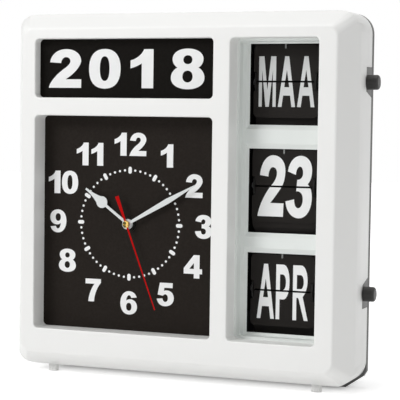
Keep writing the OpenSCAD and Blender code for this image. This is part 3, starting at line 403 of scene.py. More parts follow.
boardLook = {
    **plasticBase, "color": rgb(0.02, 0.12, 0.035), "shade": rgb(0.03, 0.17, 0.05),
    "roughness": 0.3, "mottle": 240.0, "rubAndSheenColor": rgb(0.35, 0.32, 0.18),
}
finishes["board_green"] = moldedPlastic("boardGreen", boardLook)

handLook = {
    **plasticBase, "color": rgb(0.74, 0.765, 0.76), "shade": rgb(0.70, 0.725, 0.72),
    "roughness": 0.4, "mottle": 90.0, "rubAndSheen": 0.4, "rubAndSheenWidth": 0.0002, "grainDepth": 0.00001,
}
finishes["hand_white"] = moldedPlastic("handWhite", handLook)

secondLook = {
    **handLook, "color": rgb(0.50, 0.0, 0.0), "shade": rgb(0.44, 0.0, 0.0), "specular": 0.08,
    "rubAndSheenColor": rgb(0.65, 0.01, 0.01),
}
finishes["hand_red"] = moldedPlastic("handRed", secondLook)

cardLook = {
    "color": rgb(0.0035, 0.0028, 0.0019), "fleck": rgb(0.008, 0.007, 0.006), "fleckScale": 500.0,
    "roughness": 0.6, "specular": 0.06, "depth": 0.00002,
}
finishes["card_black"] = cardFinish("cardBlack", cardLook)

dialLook = {**cardLook, "color": rgb(0.0155, 0.0122, 0.0100), "fleck": rgb(0.024, 0.020, 0.017)}
finishes["dial_black"] = cardFinish("dialBlack", dialLook)

brassLook = {
    **metalBase, "color": rgb(0.72, 0.47, 0.14), "tarnish": rgb(0.45, 0.28, 0.08),
    "roughness": 0.25, "rubAndSheenColor": rgb(0.95, 0.8, 0.45),
}
finishes["brass"] = metalFinish("turnedBrass", brassLook)

steelLook = {
    **metalBase, "color": rgb(0.55, 0.56, 0.57), "tarnish": rgb(0.36, 0.36, 0.37),
    "stretch": (0.05, 1.0, 1.0),
}
finishes["steel"] = metalFinish("platedSteel", steelLook)

springLook = {
    **metalBase, "color": rgb(0.17, 0.175, 0.17), "tarnish": rgb(0.12, 0.125, 0.12),
    "roughness": 0.42, "stretch": (1.0, 1.0, 0.05),
}
finishes["spring_steel"] = metalFinish("springSteel", springLook)

magnetLook = {
    **metalBase, "color": rgb(0.10, 0.105, 0.11), "tarnish": rgb(0.06, 0.06, 0.065),
    "roughness": 0.55, "rubAndSheenColor": rgb(0.3, 0.3, 0.3),
}
finishes["rotor_magnet"] = metalFinish("rotorMagnet", magnetLook)

copperLook = {
    **metalBase, "color": rgb(0.62, 0.22, 0.06), "tarnish": rgb(0.35, 0.10, 0.03),
    "roughness": 0.32, "stretch": (1.0, 0.02, 0.02), "scale": 6000.0, "depth": 0.00005,
}
finishes["copper_wire"] = metalFinish("copperWire", copperLook)


# The colour input of a finish, and what feeds it so far
def colorInput(material):
    socket = material.node_tree.nodes["Principled BSDF"].inputs["Base Color"]
    return socket, socket.links[0].from_socket


# The rear cover is dark, and its two tabs beside the knobs, in front of the cover's edge, are paler
coverLook = {
    **plasticBase, "color": rgb(0.10, 0.10, 0.098), "shade": rgb(0.085, 0.085, 0.083),
    "tabColor": rgb(0.20, 0.20, 0.195), "tabSpeckle": 0.3, "roughness": 0.55, "specular": 0.4,
    "grain": 900.0, "grainDepth": 0.00006, "rubAndSheen": 0.6, "rubAndSheenColor": rgb(0.24, 0.24, 0.23),
    "dust": 0.25,
}


def coverFinish(look):
    material = moldedPlastic("coverGrey", look)
    tree = material.node_tree
    socket, dark = colorInput(material)
    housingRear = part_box("front_housing")[1].y
    inFront = math1(tree, "LESS_THAN", objectSpot(tree)["Y"], housingRear)
    speckle = noise(tree, objectCoords(tree), look["grain"], detail=2.0)
    dotted = math1(tree, "MULTIPLY", speckle, look["tabSpeckle"])
    pale = mixColor(tree, dotted, look["tabColor"], look["color"])
    fill(tree, socket, mixColor(tree, inFront, dark, pale))
    return material


finishes["cover_grey"] = coverFinish(coverLook)

batteryLook = {
    "color": rgb(0.05, 0.16, 0.30), "shade": rgb(0.05, 0.16, 0.30),
    "band": rgb(0.62, 0.64, 0.66), "metal": rgb(0.66, 0.67, 0.68),
    "sleeveLength": 47.5,  # mm
    "bandShare": 0.28, "roughness": 0.28, "spread": 0.1, "specular": 0.5, "mottle": 60.0,
    "grainDepth": 0.00001, "rubAndSheenWidth": 0.0004, "rubAndSheen": 1.0,
}


# Battery sleeve: a coloured wrap with a plain band at one end and bare metal at both ends
def batteryFinish(look):
    material, tree, shader = newFinish("batteryShell", Specular_IOR_Level=look["specular"])
    low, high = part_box("battery")
    half = look["sleeveLength"] * mm / 2
    fromMiddle = math1(tree, "SUBTRACT", objectSpot(tree)["X"], (low.x + high.x) / 2)
    bare = math1(tree, "GREATER_THAN", math1(tree, "ABSOLUTE", fromMiddle), half)
    inBand = math1(tree, "GREATER_THAN", fromMiddle, half * (1 - 2 * look["bandShare"]))
    rubAndSheen = useGroup(tree, edgeRubAndSheen, look)
    skin = useGroup(tree, moldedSkin, look)
    wrap = mixColor(tree, inBand, skin["Color"], look["band"])
    # Paler edges: partly rubbed wear, partly painted highlight
    wornAndSheened = mixColor(tree, rubAndSheen["Mask"], wrap, look["metal"])
    fill(tree, shader.inputs["Base Color"], mixColor(tree, bare, wornAndSheened, look["metal"]))
    fill(tree, shader.inputs["Metallic"], bare)
    fill(tree, shader.inputs["Roughness"], skin["Roughness"])
    addBump(tree, shader, skin["Height"], look["grainDepth"])
    return material


finishes["battery_shell"] = batteryFinish(batteryLook)

# Screen-printed white: thin ink, a touch uneven
inkLook = {
    **plasticBase, "color": rgb(0.92, 0.925, 0.92), "shade": rgb(0.87, 0.875, 0.875),
    "roughness": 0.5, "specular": 0.3, "mottle": 120.0, "grain": 3000.0, "grainDepth": 0.000008,
    "rubAndSheen": 0.0,
}
ink = moldedPlastic("printWhite", inkLook)
flapInkLook = {**inkLook, "color": rgb(0.70, 0.71, 0.705), "shade": rgb(0.65, 0.66, 0.66)}
flapInk = moldedPlastic("flapPrintWhite", flapInkLook)

# The second hand's boss: brass with patches of painted dark reflection, standing in for the dark
# lobes that a spun disc reflects
bossLook = {
    **brassLook, "paintedDarkReflection": rgb(0.07, 0.06, 0.018), "patchScale": 330.0, "patchEdge": (0.42, 0.56),
}


def bossFinish(look):
    material = metalFinish("brassWithPaintedReflection", look)
    tree = material.node_tree
    socket, bright = colorInput(material)
    low, high = look["patchEdge"]
    cloud = noise(tree, objectCoords(tree), look["patchScale"], detail=1.0)
    reach = {"Value": cloud, "From Min": low, "From Max": high}
    patch = addNode(tree, "ShaderNodeMapRange", reach).outputs["Result"]
    # Painted reflection: dark patches mixed into the brass colour
    fill(tree, socket, mixColor(tree, patch, look["paintedDarkReflection"], bright))
    return material


nutLook = {
    **brassLook, "color": rgb(0.02, 0.019, 0.017), "tarnish": rgb(0.012, 0.011, 0.010),
    "roughness": 0.5, "rubAndSheenColor": rgb(0.10, 0.08, 0.05),
}
blackenedNut = metalFinish("blackenedBrass", nutLook)
plateLook = {
    **flapLook, "color": rgb(0.010, 0.0095, 0.009), "shade": rgb(0.007, 0.0065, 0.006),
    "roughness": 0.7, "specular": 0.05, "mottle": 60.0,
}
darkPlate = moldedPlastic("darkPlate", plateLook)
ownFinish = {
    "hand_nut": blackenedNut, "hand_washer": blackenedNut, "second_boss": bossFinish(bossLook),
    "left_plate": darkPlate, "right_plate": darkPlate,
}

for part in frame["record"]["subparts"]:
    piece = nodes[part["node"]]
    piece.data.materials.clear()
    piece.data.materials.append(ownFinish.get(part["node"], finishes[part["material_slot"]]))
print("finishes made:", len(bpy.data.materials))


# Rounded edges: the solids' sharp edges get a small radius
edgeRounding = {  # node: radius in mm
    "calendar_frame": 0.35, "rear_cover": 0.5, "battery_door": 0.4,
    "movement_case": 0.3, "movement_back": 0.3, "set_knob": 0.3,
    "second_boss": 0.35, "hand_nut": 0.2,
    "hour_hand": 0.1, "minute_hand": 0.1, "second_hand": 0.1,
}


def roundEdges(piece, radius):
    weld = piece.modifiers.new("weldSeams", "WELD")
    weld.merge_threshold = hair
    plain = piece.modifiers.new("plainFaces", "DECIMATE")
    plain.decimate_type = "DISSOLVE"
    plain.angle_limit = math.radians(turns["flat"])
    bevel = piece.modifiers.new("roundEdges", "BEVEL")
    bevel.width = radius * mm
    bevel.segments = 3
    bevel.limit_method = "ANGLE"
    bevel.angle_limit = math.radians(turns["edge"])
    bevel.harden_normals = True
    bevel.use_clamp_overlap = True


for node, radius in edgeRounding.items():
    roundEdges(nodes[node], radius)
print("edges rounded on", len(edgeRounding), "nodes")


# Lettering: outlines on a grid as high as the sign
# Two numbers are a corner; three are a control point with its pull
gridHeight = 100
bow = 0.8
full = 0.95


def oval(x0, y0, x1, y1, pull=bow):
    x, y = (x0 + x1) / 2, (y0 + y1) / 2
    return [(x, y1), (x1, y1, pull), (x1, y), (x1, y0, pull),
            (x, y0), (x0, y0, pull), (x0, y), (x0, y1, pull)]


def turned(contours, width):
    return [[(width - p[0], gridHeight - p[1], *p[2:]) for p in contour] for contour in contours]


sixOutline = [
    [(78, 75), (72, 101.5, bow), (42, 101.5), (0, 101.5, bow), (0, 48), (0, -1.5, bow), (41, -1.5),
     (80, -1.5, bow), (80, 33), (80, 66, bow), (47, 66), (35, 66, bow), (28, 59), (30, 83.5, bow),
     (42, 83.5), (50, 83.5, bow), (51.5, 72.5)],
    oval(28, 15.5, 53.5, 50),
]

# Wide heavy figures of the dial and the year
wideFigures = {
    "0": [oval(0, -1.5, 80, 101.5, full),
          oval(27.5, 18.5, 52, 82.5, full)],
    "1": [[(28.5, 0), (28.5, 64), (18, 56, bow), (0, 51), (0, 71.5), (27.5, 79, bow), (34, 100.5),
           (58, 100.5), (58, 0)]],
    "2": [[(0, 0), (80, 0), (80, 22.5), (41.5, 22.5), (77, 46, bow), (79.5, 70),
           (79.5, 101.5, bow), (42, 101.5), (7, 101.5, bow), (2.5, 67), (30, 65),
           (31.5, 80.5, bow), (42, 80.5), (53, 80.5, bow), (53, 69.5), (53, 62, bow), (41.5, 53),
           (2.5, 24, bow)]],
    "3": [[(0, 30), (3, -1.5, bow), (38, -1.5), (78, -1.5, bow), (78, 30), (78, 48, bow),
           (62, 53.5), (75, 59, bow), (75, 75), (75, 101.5, bow), (38, 101.5), (5, 101.5, bow),
           (1.5, 74), (28, 69.5), (29.5, 82.5, bow), (38, 82.5), (47, 82.5, bow), (47, 72.5),
           (47, 61, bow), (36, 61), (30.5, 61), (30.5, 43.5), (36, 43.5), (50, 43.5, bow),
           (50, 30), (50, 17.5, bow), (38, 17.5), (28, 17.5, bow), (27, 32)]],
    "4": [[(47, 0), (73, 0), (73, 19), (85, 19), (85, 40.5), (73, 40.5), (73, 100.5), (46, 100.5),
           (0, 42.5), (0, 19), (47, 19)],
          [(47, 40.5), (47, 66), (26, 40.5)]],
    "5": [[(0, 30), (4, -1.5, bow), (38, -1.5), (80, -1.5, bow), (80, 35), (80, 68, bow),
           (46, 68), (38, 68, bow), (33, 65.5), (35, 79), (74, 79), (74, 100.5), (14, 100.5),
           (4, 48), (29, 44), (33, 50.5, bow), (40, 50.5), (52, 50.5, bow), (52, 34),
           (52, 17.5, bow), (40, 17.5), (29, 17.5, bow), (27, 32.5)]],
    "6": sixOutline,
    "7": [[(2, 100.5), (77, 100.5), (77, 84), (46, 50, bow), (44, 0), (16, 0), (20, 48, bow),
           (46, 78.5), (2, 78.5)]],
    "8": [[(42, 101.5), (81, 101.5, bow), (81, 75), (81, 60, bow), (68.5, 53), (84, 46, bow),
           (84, 27), (84, -2, bow), (42, -2), (0, -2, bow), (0, 27), (0, 46, bow), (16.5, 53),
           (4, 60, bow), (4, 75), (4, 101.5, bow)],
          oval(31, 62, 53.5, 84.5),
          oval(29, 15.5, 54.5, 45.5)],
    "9": turned(sixOutline, 80),
}

# Narrow letters with slim uprights and thick bars
narrowLetters = {
    "A": [[(0, 0), (13.4, 100), (21.6, 100), (35, 0), (27.6, 0), (24.6, 22.5), (10.4, 22.5),
           (7.4, 0)],
          [(12.4, 39), (22.6, 39), (17.5, 73)]],
    "D": [[(0, 0), (0, 100), (14, 100), (29, 100, bow), (29, 50), (29, 0, bow), (14, 0)],
          [(7.5, 16), (7.5, 84), (13, 84), (21.5, 84, bow), (21.5, 50), (21.5, 16, bow),
           (13, 16)]],
    "E": [[(0, 0), (0, 100), (24, 100), (24, 84), (7.5, 84), (7.5, 58.5), (21, 58.5), (21, 42.5),
           (7.5, 42.5), (7.5, 16), (24, 16), (24, 0)]],
    "I": [[(0, 0), (0, 100), (7.5, 100), (7.5, 0)]],
    "M": [[(0, 0), (0, 100), (10.5, 100), (17.5, 33), (24.5, 100), (35, 100), (35, 0), (28.5, 0),
           (28.5, 73), (21, 0), (14, 0), (6.5, 73), (6.5, 0)]],
    "N": [[(0, 0), (0, 100), (9, 100), (22, 34), (22, 100), (29, 100), (29, 0), (20, 0), (7, 66),
           (7, 0)]],
    "P": [[(0, 0), (0, 100), (14, 100), (27, 100, bow), (27, 69), (27, 36.5, bow), (14.5, 36.5),
           (7.4, 36.5), (7.4, 0)],
          [(7.8, 53.5), (7.8, 82), (13, 82), (19.8, 82, bow), (19.8, 68), (19.8, 53.5, bow),
           (13, 53.5)]],
    "R": [[(0, 0), (0, 100), (16, 100), (29, 100, bow), (29, 71), (29, 54, bow), (19.8, 43),
           (30.4, 0), (22.8, 0), (13.4, 33), (12, 41, bow), (9.5, 41), (7.4, 41), (7.4, 0)],
          [(7.8, 57), (7.8, 82.5), (15, 82.5), (21.5, 82.5, bow), (21.5, 70), (21.5, 57, bow),
           (15, 57)]],
}

# Narrow heavy figures of the date
dateFigures = {
    "2": [[(0, 0), (44, 0), (44.7, 22), (21.7, 22), (34, 37, bow), (42, 50.5), (47, 60, bow),
           (47, 75), (47, 100, bow), (26, 100), (6, 100, bow), (3.5, 67.2), (18, 65),
           (18.5, 80.6, bow), (25.6, 80.6), (32.6, 80.6, bow), (32.6, 71), (32.6, 60, bow),
           (22.8, 50.4), (3.5, 26, bow)]],
    "3": [[(0, 25.4), (2, -1.4, bow), (22.5, -1.4), (44.6, -1.4, bow), (44.6, 33),
           (44.6, 50, bow), (37, 54.2), (44.4, 60, bow), (44.3, 77), (44.3, 100, bow),
           (25.2, 100), (6.5, 100, bow), (3.5, 74.2), (17, 69), (18, 82.5, bow), (24, 82.5),
           (29.2, 82.5, bow), (29.2, 72), (29.2, 61, bow), (19.5, 61), (18, 42.3),
           (29.4, 44, bow), (29.4, 29.7), (29.2, 15, bow), (21.4, 15), (14.6, 15, bow),
           (14.8, 29.2)]],
    "4": [[(28, 0), (43, 0), (43, 20), (46, 20), (46, 36), (43, 36), (43, 100), (26, 100),
           (0, 38), (0, 20), (28, 20)],
          [(28, 36), (28, 74), (12.5, 36)]],
}


# Points along an outline; a control point bends the line between its two neighbours
def tracedOutline(contour, steps=10):
    points = []
    for i, spot in enumerate(contour):
        if len(spot) == 2:
            points.append(spot)
            continue
        start, end = contour[i - 1], contour[(i + 1) % len(contour)]
        for k in range(1, steps):
            t = k / steps
            a, b, c = (1 - t) ** 2, 2 * spot[2] * t * (1 - t), t * t
            total = a + b + c
            points.append(tuple((a * start[n] + b * spot[n] + c * end[n]) / total for n in (0, 1)))
    return points


# One printed sign: its outlines scaled to a height and set with their lower left corner at x and z
def setSign(contours, x, z, height, stretch=1.0):
    unit = height / gridHeight
    return [
        [(x + px * unit * stretch, z + pz * unit) for px, pz in tracedOutline(contour)]
        for contour in contours
    ]


# Signs in a row, with their middle at x and their feet at z
def setWord(text, font, gaps, x, z, height, stretch=1.0):
    unit = height / gridHeight * stretch
    widths = [max(p[0] for p in font[sign][0]) * unit for sign in text]
    left = x - (sum(widths) + sum(gaps)) / 2
    signs = []
    for sign, width, gap in zip(text, widths, (*gaps, 0)):
        signs.append(setSign(font[sign], left, z, height, stretch))
        left += width + gap
    return signs


# Closed solids between two depths, from outlines with holes
def addPrisms(mesh, signs, back, front):
    for outlines in signs:
        rings = []
        for depth in (back, front):
            edges = []
            layer = []
            for outline in outlines:
                verts = [mesh.verts.new((x * mm, depth * mm, z * mm)) for x, z in outline]
                edges += [mesh.edges.new((verts[i - 1], verts[i])) for i in range(len(verts))]
                layer.append(verts)
            bmesh.ops.triangle_fill(mesh, use_beauty=True, use_dissolve=False, edges=edges)
            rings.append(layer)
        for low, high in zip(*rings):
            for i in range(len(low)):
                mesh.faces.new((low[i - 1], low[i], high[i], high[i - 1]))


# Cuts a solid along a plane, drops what lies beyond it or before it, and closes the cut
def cutOff(mesh, spot, normal, tolerance, dropBeyond=True):
    geometry = list(mesh.verts) + list(mesh.edges) + list(mesh.faces)
    bmesh.ops.bisect_plane(mesh, geom=geometry, dist=tolerance, plane_co=spot, plane_no=normal,
                           clear_outer=dropBeyond, clear_inner=not dropBeyond)
    bmesh.ops.holes_fill(mesh, edges=[edge for edge in mesh.edges if edge.is_boundary], sides=0)


def finishPiece(name, mesh, material, body, smooth=False):
    bmesh.ops.remove_doubles(mesh, verts=mesh.verts, dist=seam)
    bmesh.ops.recalc_face_normals(mesh, faces=mesh.faces)
    data = bpy.data.meshes.new(name)
    mesh.to_mesh(data)
    mesh.free()
    data.materials.append(material)
    if smooth:
        data.shade_smooth()
        data.set_sharp_from_angle(angle=math.radians(turns["shading"]))
    piece = bpy.data.objects.new(name, data)
    scene.collection.objects.link(piece)
    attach(piece, body)
    return piece


inkDepth = {"proud": 0.04, "sunk": 0.02}  # mm, in front of the printed face and behind it


def printOn(name, signs, face, body, material=ink, keep=None, facing=-1):
    mesh = bmesh.new()
    back = face / mm - facing * inkDepth["sunk"]
    addPrisms(mesh, signs, back, face / mm + facing * inkDepth["proud"])
    if keep:
        height, keepAbove = keep
        cutOff(mesh, (0, 0, height * mm), (0, 0, 1), seam, not keepAbove)
    return finishPiece(name, mesh, material, body)


# The shell as shown: the solid's form, with softer corners in its openings and rounder front edges
shellShape = {
    "openings": ("year_window", "dial_window", "calendar_recess"),
    "solidCorner": 1.8,  # mm
    "corner": 3.7,
    "faceCorner": 10.0,  # at the front face's own corners
    "facets": 5,  # along each of them
    "windowRound": 1.2,
    "frontRound": 1.4,
    "segments": 4,
    "frontDepth": 10.0,  # how far back the rounder edges go
    "border": 6.0,  # strip of the front face that belongs to its outer edge
    "shadingWeight": 100,
}


# Points of the foremost face
def frontPoints(mesh):
    front = min(vert.co.y for vert in mesh.verts)
    return [vert.co.copy() for vert in mesh.verts if vert.co.y < front + hair]


# Points on an opening's corner arcs move out to arcs of the shown radius
def softenCorners(mesh, look):
    face = frontPoints(mesh)
    was, now = look["solidCorner"] * mm, look["corner"] * mm
    besideArc, offArc = 0.02, 0.03  # slack as a share of the radius
    for opening in frame["record"]["physics"]["openings"]:
        if opening["name"] not in look["openings"]:
            continue
        (x0, _, z0), (x1, _, z1) = opening["box_m"]
        rim = [spot for spot in face if x0 - mm < spot.x < x1 + mm and z0 - mm < spot.z < z1 + mm]
        xs, zs = [spot.x for spot in rim], [spot.z for spot in rim]
        midX, midZ = (min(xs) + max(xs)) / 2, (min(zs) + max(zs)) / 2
        halfX, halfZ = max(xs) - midX, max(zs) - midZ
        for vert in mesh.verts:
            dx, dz = vert.co.x - midX, vert.co.z - midZ
            u, w = (abs(dx) - halfX) / was + 1, (abs(dz) - halfZ) / was + 1
            if min(u, w) > -besideArc and abs(math.hypot(u, w) - 1) < offArc:
                vert.co.x = midX + math.copysign(halfX + now * (u - 1), dx)
                vert.co.z = midZ + math.copysign(halfZ + now * (w - 1), dz)


# How far a bevelled side spreads outwards for each step back
def bevelSpread(mesh, outward):
    lean = 0.2
    slopes = [side for side in mesh.faces
              if side.normal.dot(outward) > lean and side.normal.y < -lean]
    normal = max(slopes, key=lambda side: side.calc_area()).normal
    return -normal.y / normal.dot(outward)


# The mitres of the bevel are cut to a round along their length, facet by facet
def roundMitres(mesh, look):
    face = frontPoints(mesh)
    front = min(spot.y for spot in face)
    radius = look["faceCorner"] * mm
    cuts = []
    for sideX in (-1, 1):
        for sideZ in (-1, 1):
            x = max(spot.x * sideX for spot in face) - radius
            z = max(spot.z * sideZ for spot in face) - radius
            spreadX = bevelSpread(mesh, Vector((sideX, 0, 0)))
            spreadZ = bevelSpread(mesh, Vector((0, 0, sideZ)))
            for i in range(1, look["facets"] + 1):
                angle = math.radians(90 * i / (look["facets"] + 1))
                sin, cos = math.sin(angle), math.cos(angle)
                spot = Vector((sideX * (x + radius * sin), front, sideZ * (z + radius * cos)))
                forward = -spreadX * sin - spreadZ * cos
                cuts.append((spot, Vector((sideX * sin, forward, sideZ * cos))))
    for spot, normal in cuts:
        cutOff(mesh, spot, normal.normalized(), hair / 10)


# Rounds the sharp edges at the front: those of the openings, or those round the outside
def roundFront(mesh, look, width, outer):
    face = frontPoints(mesh)
    deepest = min(spot.y for spot in face) + look["frontDepth"] * mm
    border = look["border"] * mm
    facesFront = -0.3
    x0, x1 = min(spot.x for spot in face) + border, max(spot.x for spot in face) - border
    z0, z1 = min(spot.z for spot in face) + border, max(spot.z for spot in face) - border
    sharp = [
        edge for edge in mesh.edges
        if len(edge.link_faces) == 2
        and edge.calc_face_angle_signed(0.0) > math.radians(turns["front"])
        and max(vert.co.y for vert in edge.verts) < deepest
        and min(side.normal.y for side in edge.link_faces) < facesFront
        and outer != all(x0 < vert.co.x < x1 and z0 < vert.co.z < z1 for vert in edge.verts)
    ]
    bmesh.ops.bevel(mesh, geom=sharp, offset=width * mm, segments=look["segments"], profile=0.5,
                    affect="EDGES")
    mesh.normal_update()
    return len(sharp)


def addShell(look):
    mesh = bmesh.new()
    mesh.from_mesh(nodes["front_housing"].data)
    bmesh.ops.remove_doubles(mesh, verts=mesh.verts, dist=hair)
    softenCorners(mesh, look)
    bmesh.ops.dissolve_limit(mesh, angle_limit=math.radians(turns["flat"]), verts=mesh.verts,
                             edges=mesh.edges)
    mesh.normal_update()
    roundMitres(mesh, look)
    mesh.normal_update()
    count = roundFront(mesh, look, look["windowRound"], False)
    count += roundFront(mesh, look, look["frontRound"], True)
    plastic = finishes["shell_white"]
    shell = finishPiece("frontShell", mesh, plastic, "case", smooth=True)
    even = shell.modifiers.new("evenShading", "WEIGHTED_NORMAL")
    even.weight = look["shadingWeight"]
    even.keep_sharp = True
    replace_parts(shell, "front_housing")
    print("front edges rounded:", count)


addShell(shellShape)

# Year card: four wide figures
yearPrint = {
    "text": "2018",
    "lefts": (-71.8, -34.35, 3.55, 39.75),  # mm from the dial's middle
    "height": 32.0,
    "drop": 16.2,  # mm of the figures below the card's middle
    "stretches": (1.18, 1.13, 1.11, 1.10),
}
dialMiddle = middle("hand_washer") / mm
yearZ = middle("year_card").z / mm - yearPrint["drop"]
yearSigns = [
    setSign(wideFigures[sign], dialMiddle.x + left, yearZ, yearPrint["height"], stretch)
    for sign, left, stretch in zip(yearPrint["text"], yearPrint["lefts"], yearPrint["stretches"])
]
printOn("yearFigures", yearSigns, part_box("year_card")[0].y, "case")

# Dial: upright hour figures, a pill at each hour and a dot at each other minute
dialPrint = {
    "height": 19.2,  # mm
    "radius": 66.6,  # to the middle of the figures
    "outward": {"10": -4.4, "11": -4.0},  # sideways shift of the wide numbers
    "gaps": {"10": (1.4,), "11": (2.6,), "12": (2.6,)},  # between their two figures
    "ring": 45.0,
    "pill": (5.9, 3.1),  # length and width
    "dot": 1.0,  # radius
    "dotSides": 20,
    "pillSides": 12,  # at each end
}


def hourNumber(hour):
    text = str(hour)
    height, radius = dialPrint["height"], dialPrint["radius"]
    angle = math.radians(360 * hour / 12)
    x = dialMiddle.x + radius * math.sin(angle) + dialPrint["outward"].get(text, 0)
    z = dialMiddle.z + radius * math.cos(angle) - height / 2
    return setWord(text, wideFigures, dialPrint["gaps"].get(text, ()), x, z, height)


def circlePoints(radius, count, start=0.0, sweep=360.0):
    angles = [math.radians(start + sweep * i / count) for i in range(count + (sweep < 360))]
    return [(radius * math.cos(a), radius * math.sin(a)) for a in angles]


def minuteMark(minute):
    turn = math.radians(360 * minute / 60)
    if minute % 5:
        mark = circlePoints(dialPrint["dot"], dialPrint["dotSides"])
    else:
        length, width = dialPrint["pill"]
        reach = (length - width) / 2
        ends = circlePoints(width / 2, dialPrint["pillSides"], 0, 180)
        top = [(x, z + reach) for x, z in ends]
        mark = top + [(-x, -z) for x, z in top]
    outline = [(x, z + dialPrint["ring"]) for x, z in mark]
    cos, sin = math.cos(turn), math.sin(turn)
    return [[
        (dialMiddle.x + x * cos + z * sin, dialMiddle.z + z * cos - x * sin) for x, z in outline
    ]]


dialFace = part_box("dial_plate")[0].y
hourSigns = [sign for hour in range(1, 13) for sign in hourNumber(hour)]
printOn("dialFigures", hourSigns, dialFace, "case")
printOn("dialMarks", [minuteMark(minute) for minute in range(60)], dialFace, "case")
print("year and dial printed")

# Calendar flaps: each word is cut at the split; the next one waits on the flap behind
flapPrint = {"split": 0.75}  # mm from the axis to the edge of the print
calendarPrint = {  # height, base from the axis, gaps and shift in mm
    "weekday": {
        **flapPrint, "now": "MAA", "next": "DIN", "signs": narrowLetters, "ink": flapInk,
        "height": 41.0, "base": -20.5, "stretch": 1.02, "shift": 0.9,
        "gaps": (1.9, 1.7), "nextGaps": (3.0, 3.0),
    },
    "date": {
        **flapPrint, "now": "23", "next": "24", "signs": dateFigures, "ink": ink,
        "height": 50.0, "base": -24.6, "stretch": 1.0, "shift": 0.8,
        "gaps": (0.45,), "nextGaps": (0.2,),
    },
    "month": {
        **flapPrint, "now": "APR", "next": "MEI", "signs": narrowLetters, "ink": ink,
        "height": 45.0, "base": -23.4, "stretch": 0.95, "shift": 0.2,
        "gaps": (1.4, 2.9), "nextGaps": (2.5, 3.0),
    },
}


def flapWord(text, gaps, look, x, axis):
    x, z = x + look["shift"], axis + look["base"]
    return setWord(text, look["signs"], gaps, x, z, look["height"], look["stretch"])


def mirrored(signs, axis):
    return [[[(x, 2 * axis - z) for x, z in outline] for outline in sign] for sign in signs]


for display, look in calendarPrint.items():
    flaps = {place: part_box(f"{display}_{place}_flap") for place in ("upper", "next", "lower")}
    drum = middle(f"{display}_spool") / mm
    x, axis, split = drum.x, drum.z, look["split"]
    rise = (flaps["next"][1].z - flaps["upper"][1].z) / mm  # the next flap waits higher up
    now = flapWord(look["now"], look["gaps"], look, x, axis)
    coming = flapWord(look["next"], look["nextGaps"], look, x, axis)
    waiting = flapWord(look["next"], look["nextGaps"], look, x, axis + rise)
    above, below = (axis + split, True), (axis - split, False)
    prints = (
        ("UpperPrint", "upper", now, flaps["upper"][0].y, above, -1),
        ("LowerPrint", "lower", now, flaps["lower"][0].y, below, -1),
        ("NextPrint", "next", waiting, flaps["next"][0].y, (axis + rise + split, True), -1),
        ("BackPrint", "upper", mirrored(coming, axis), flaps["upper"][1].y, above, 1),
    )
    for kind, place, signs, face, keep, facing in prints:
        printOn(display + kind, signs, face, f"{display}_{place}", look["ink"], keep, facing)
print("calendar flaps printed")


# Turned solids: a profile of radius and height spun about an axis
def addTurned(mesh, profile, start, axis, count=48):
    turn = Vector((0, 0, 1)).rotation_difference(Vector(axis)).to_matrix()
    rings = []
    for radius, height in profile:
        points = [(0.0, 0.0)] if radius == 0 else circlePoints(radius, count)
        spots = [Vector(start) + turn @ Vector((x, y, height)) for x, y in points]
        rings.append([mesh.verts.new(spot * mm) for spot in spots])
    for low, high in zip(rings, rings[1:]):
        for i in range(count):
            if len(low) == 1:
                mesh.faces.new((low[0], high[i], high[i - 1]))
            elif len(high) == 1:
                mesh.faces.new((low[i - 1], low[i], high[0]))
            else:
                mesh.faces.new((low[i - 1], low[i], high[i], high[i - 1]))
    return rings


# Cover screws: domed heads with a cross slot, in the cover's four corners
screwShape = {
    "shank": 1.3,  # mm
    "length": 14.0,
    "tip": (0.6, 1.0),  # share of the shank and length
    "head": 3.0,
    "rim": 0.9,
    "shoulder": (0.93, 0.8),  # shares of the head and of its height
    "height": 1.66,
    "crown": 2.1,
    "slot": (1.65, 0.36),
    "slotDepth": 0.9,
    "clearance": 0.02,  # under the highest point
}


def addCrossScrew(mesh, seat, look):
    shank, length, head, height = (look[key] for key in ("shank", "length", "head", "height"))
    tipShare, tipLength = look["tip"]
    shoulderOut, shoulderUp = look["shoulder"]
    profile = [
        (0, -length), (tipShare * shank, -length), (shank, tipLength - length), (shank, 0),
        (head, 0), (head, look["rim"]), (shoulderOut * head, shoulderUp * height),
        (look["crown"], height),
    ]
    crown = addTurned(mesh, profile, seat, (0, 1, 0))[-1]
    arm, half = look["slot"]
    corners = [
        (half, half), (half, arm), (-half, arm), (-half, half), (-arm, half), (-arm, -half),
        (-half, -half), (-half, -arm), (half, -arm), (half, -half), (arm, -half), (arm, half),
    ]
    levels = []
    for level in (height, height - look["slotDepth"]):
        spots = [Vector(seat) + Vector((x, level, z)) for x, z in corners]
        levels.append([mesh.verts.new(spot * mm) for spot in spots])
    top, floor = levels
    slotRim = [mesh.edges.new((top[i - 1], top[i])) for i in range(len(corners))]
    crownRim = [mesh.edges.get((crown[i - 1], crown[i])) for i in range(len(crown))]
    bmesh.ops.triangle_fill(mesh, use_beauty=True, use_dissolve=False, edges=slotRim + crownRim)
    for i in range(len(corners)):
        mesh.faces.new((top[i - 1], top[i], floor[i], floor[i - 1]))
    mesh.faces.new(floor)


def addScrews(look):
    low, high = (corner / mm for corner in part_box("cover_screws"))
    seat = high.y - look["height"] - look["clearance"]
    mesh = bmesh.new()
    for x in (low.x + look["head"], high.x - look["head"]):
        for z in (low.z + look["head"], high.z - look["head"]):
            addCrossScrew(mesh, (x, seat, z), look)
    return finishPiece("crossScrews", mesh, finishes["steel"], "case", smooth=True)


crossScrews = addScrews(screwShape)
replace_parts(crossScrews, "cover_screws")

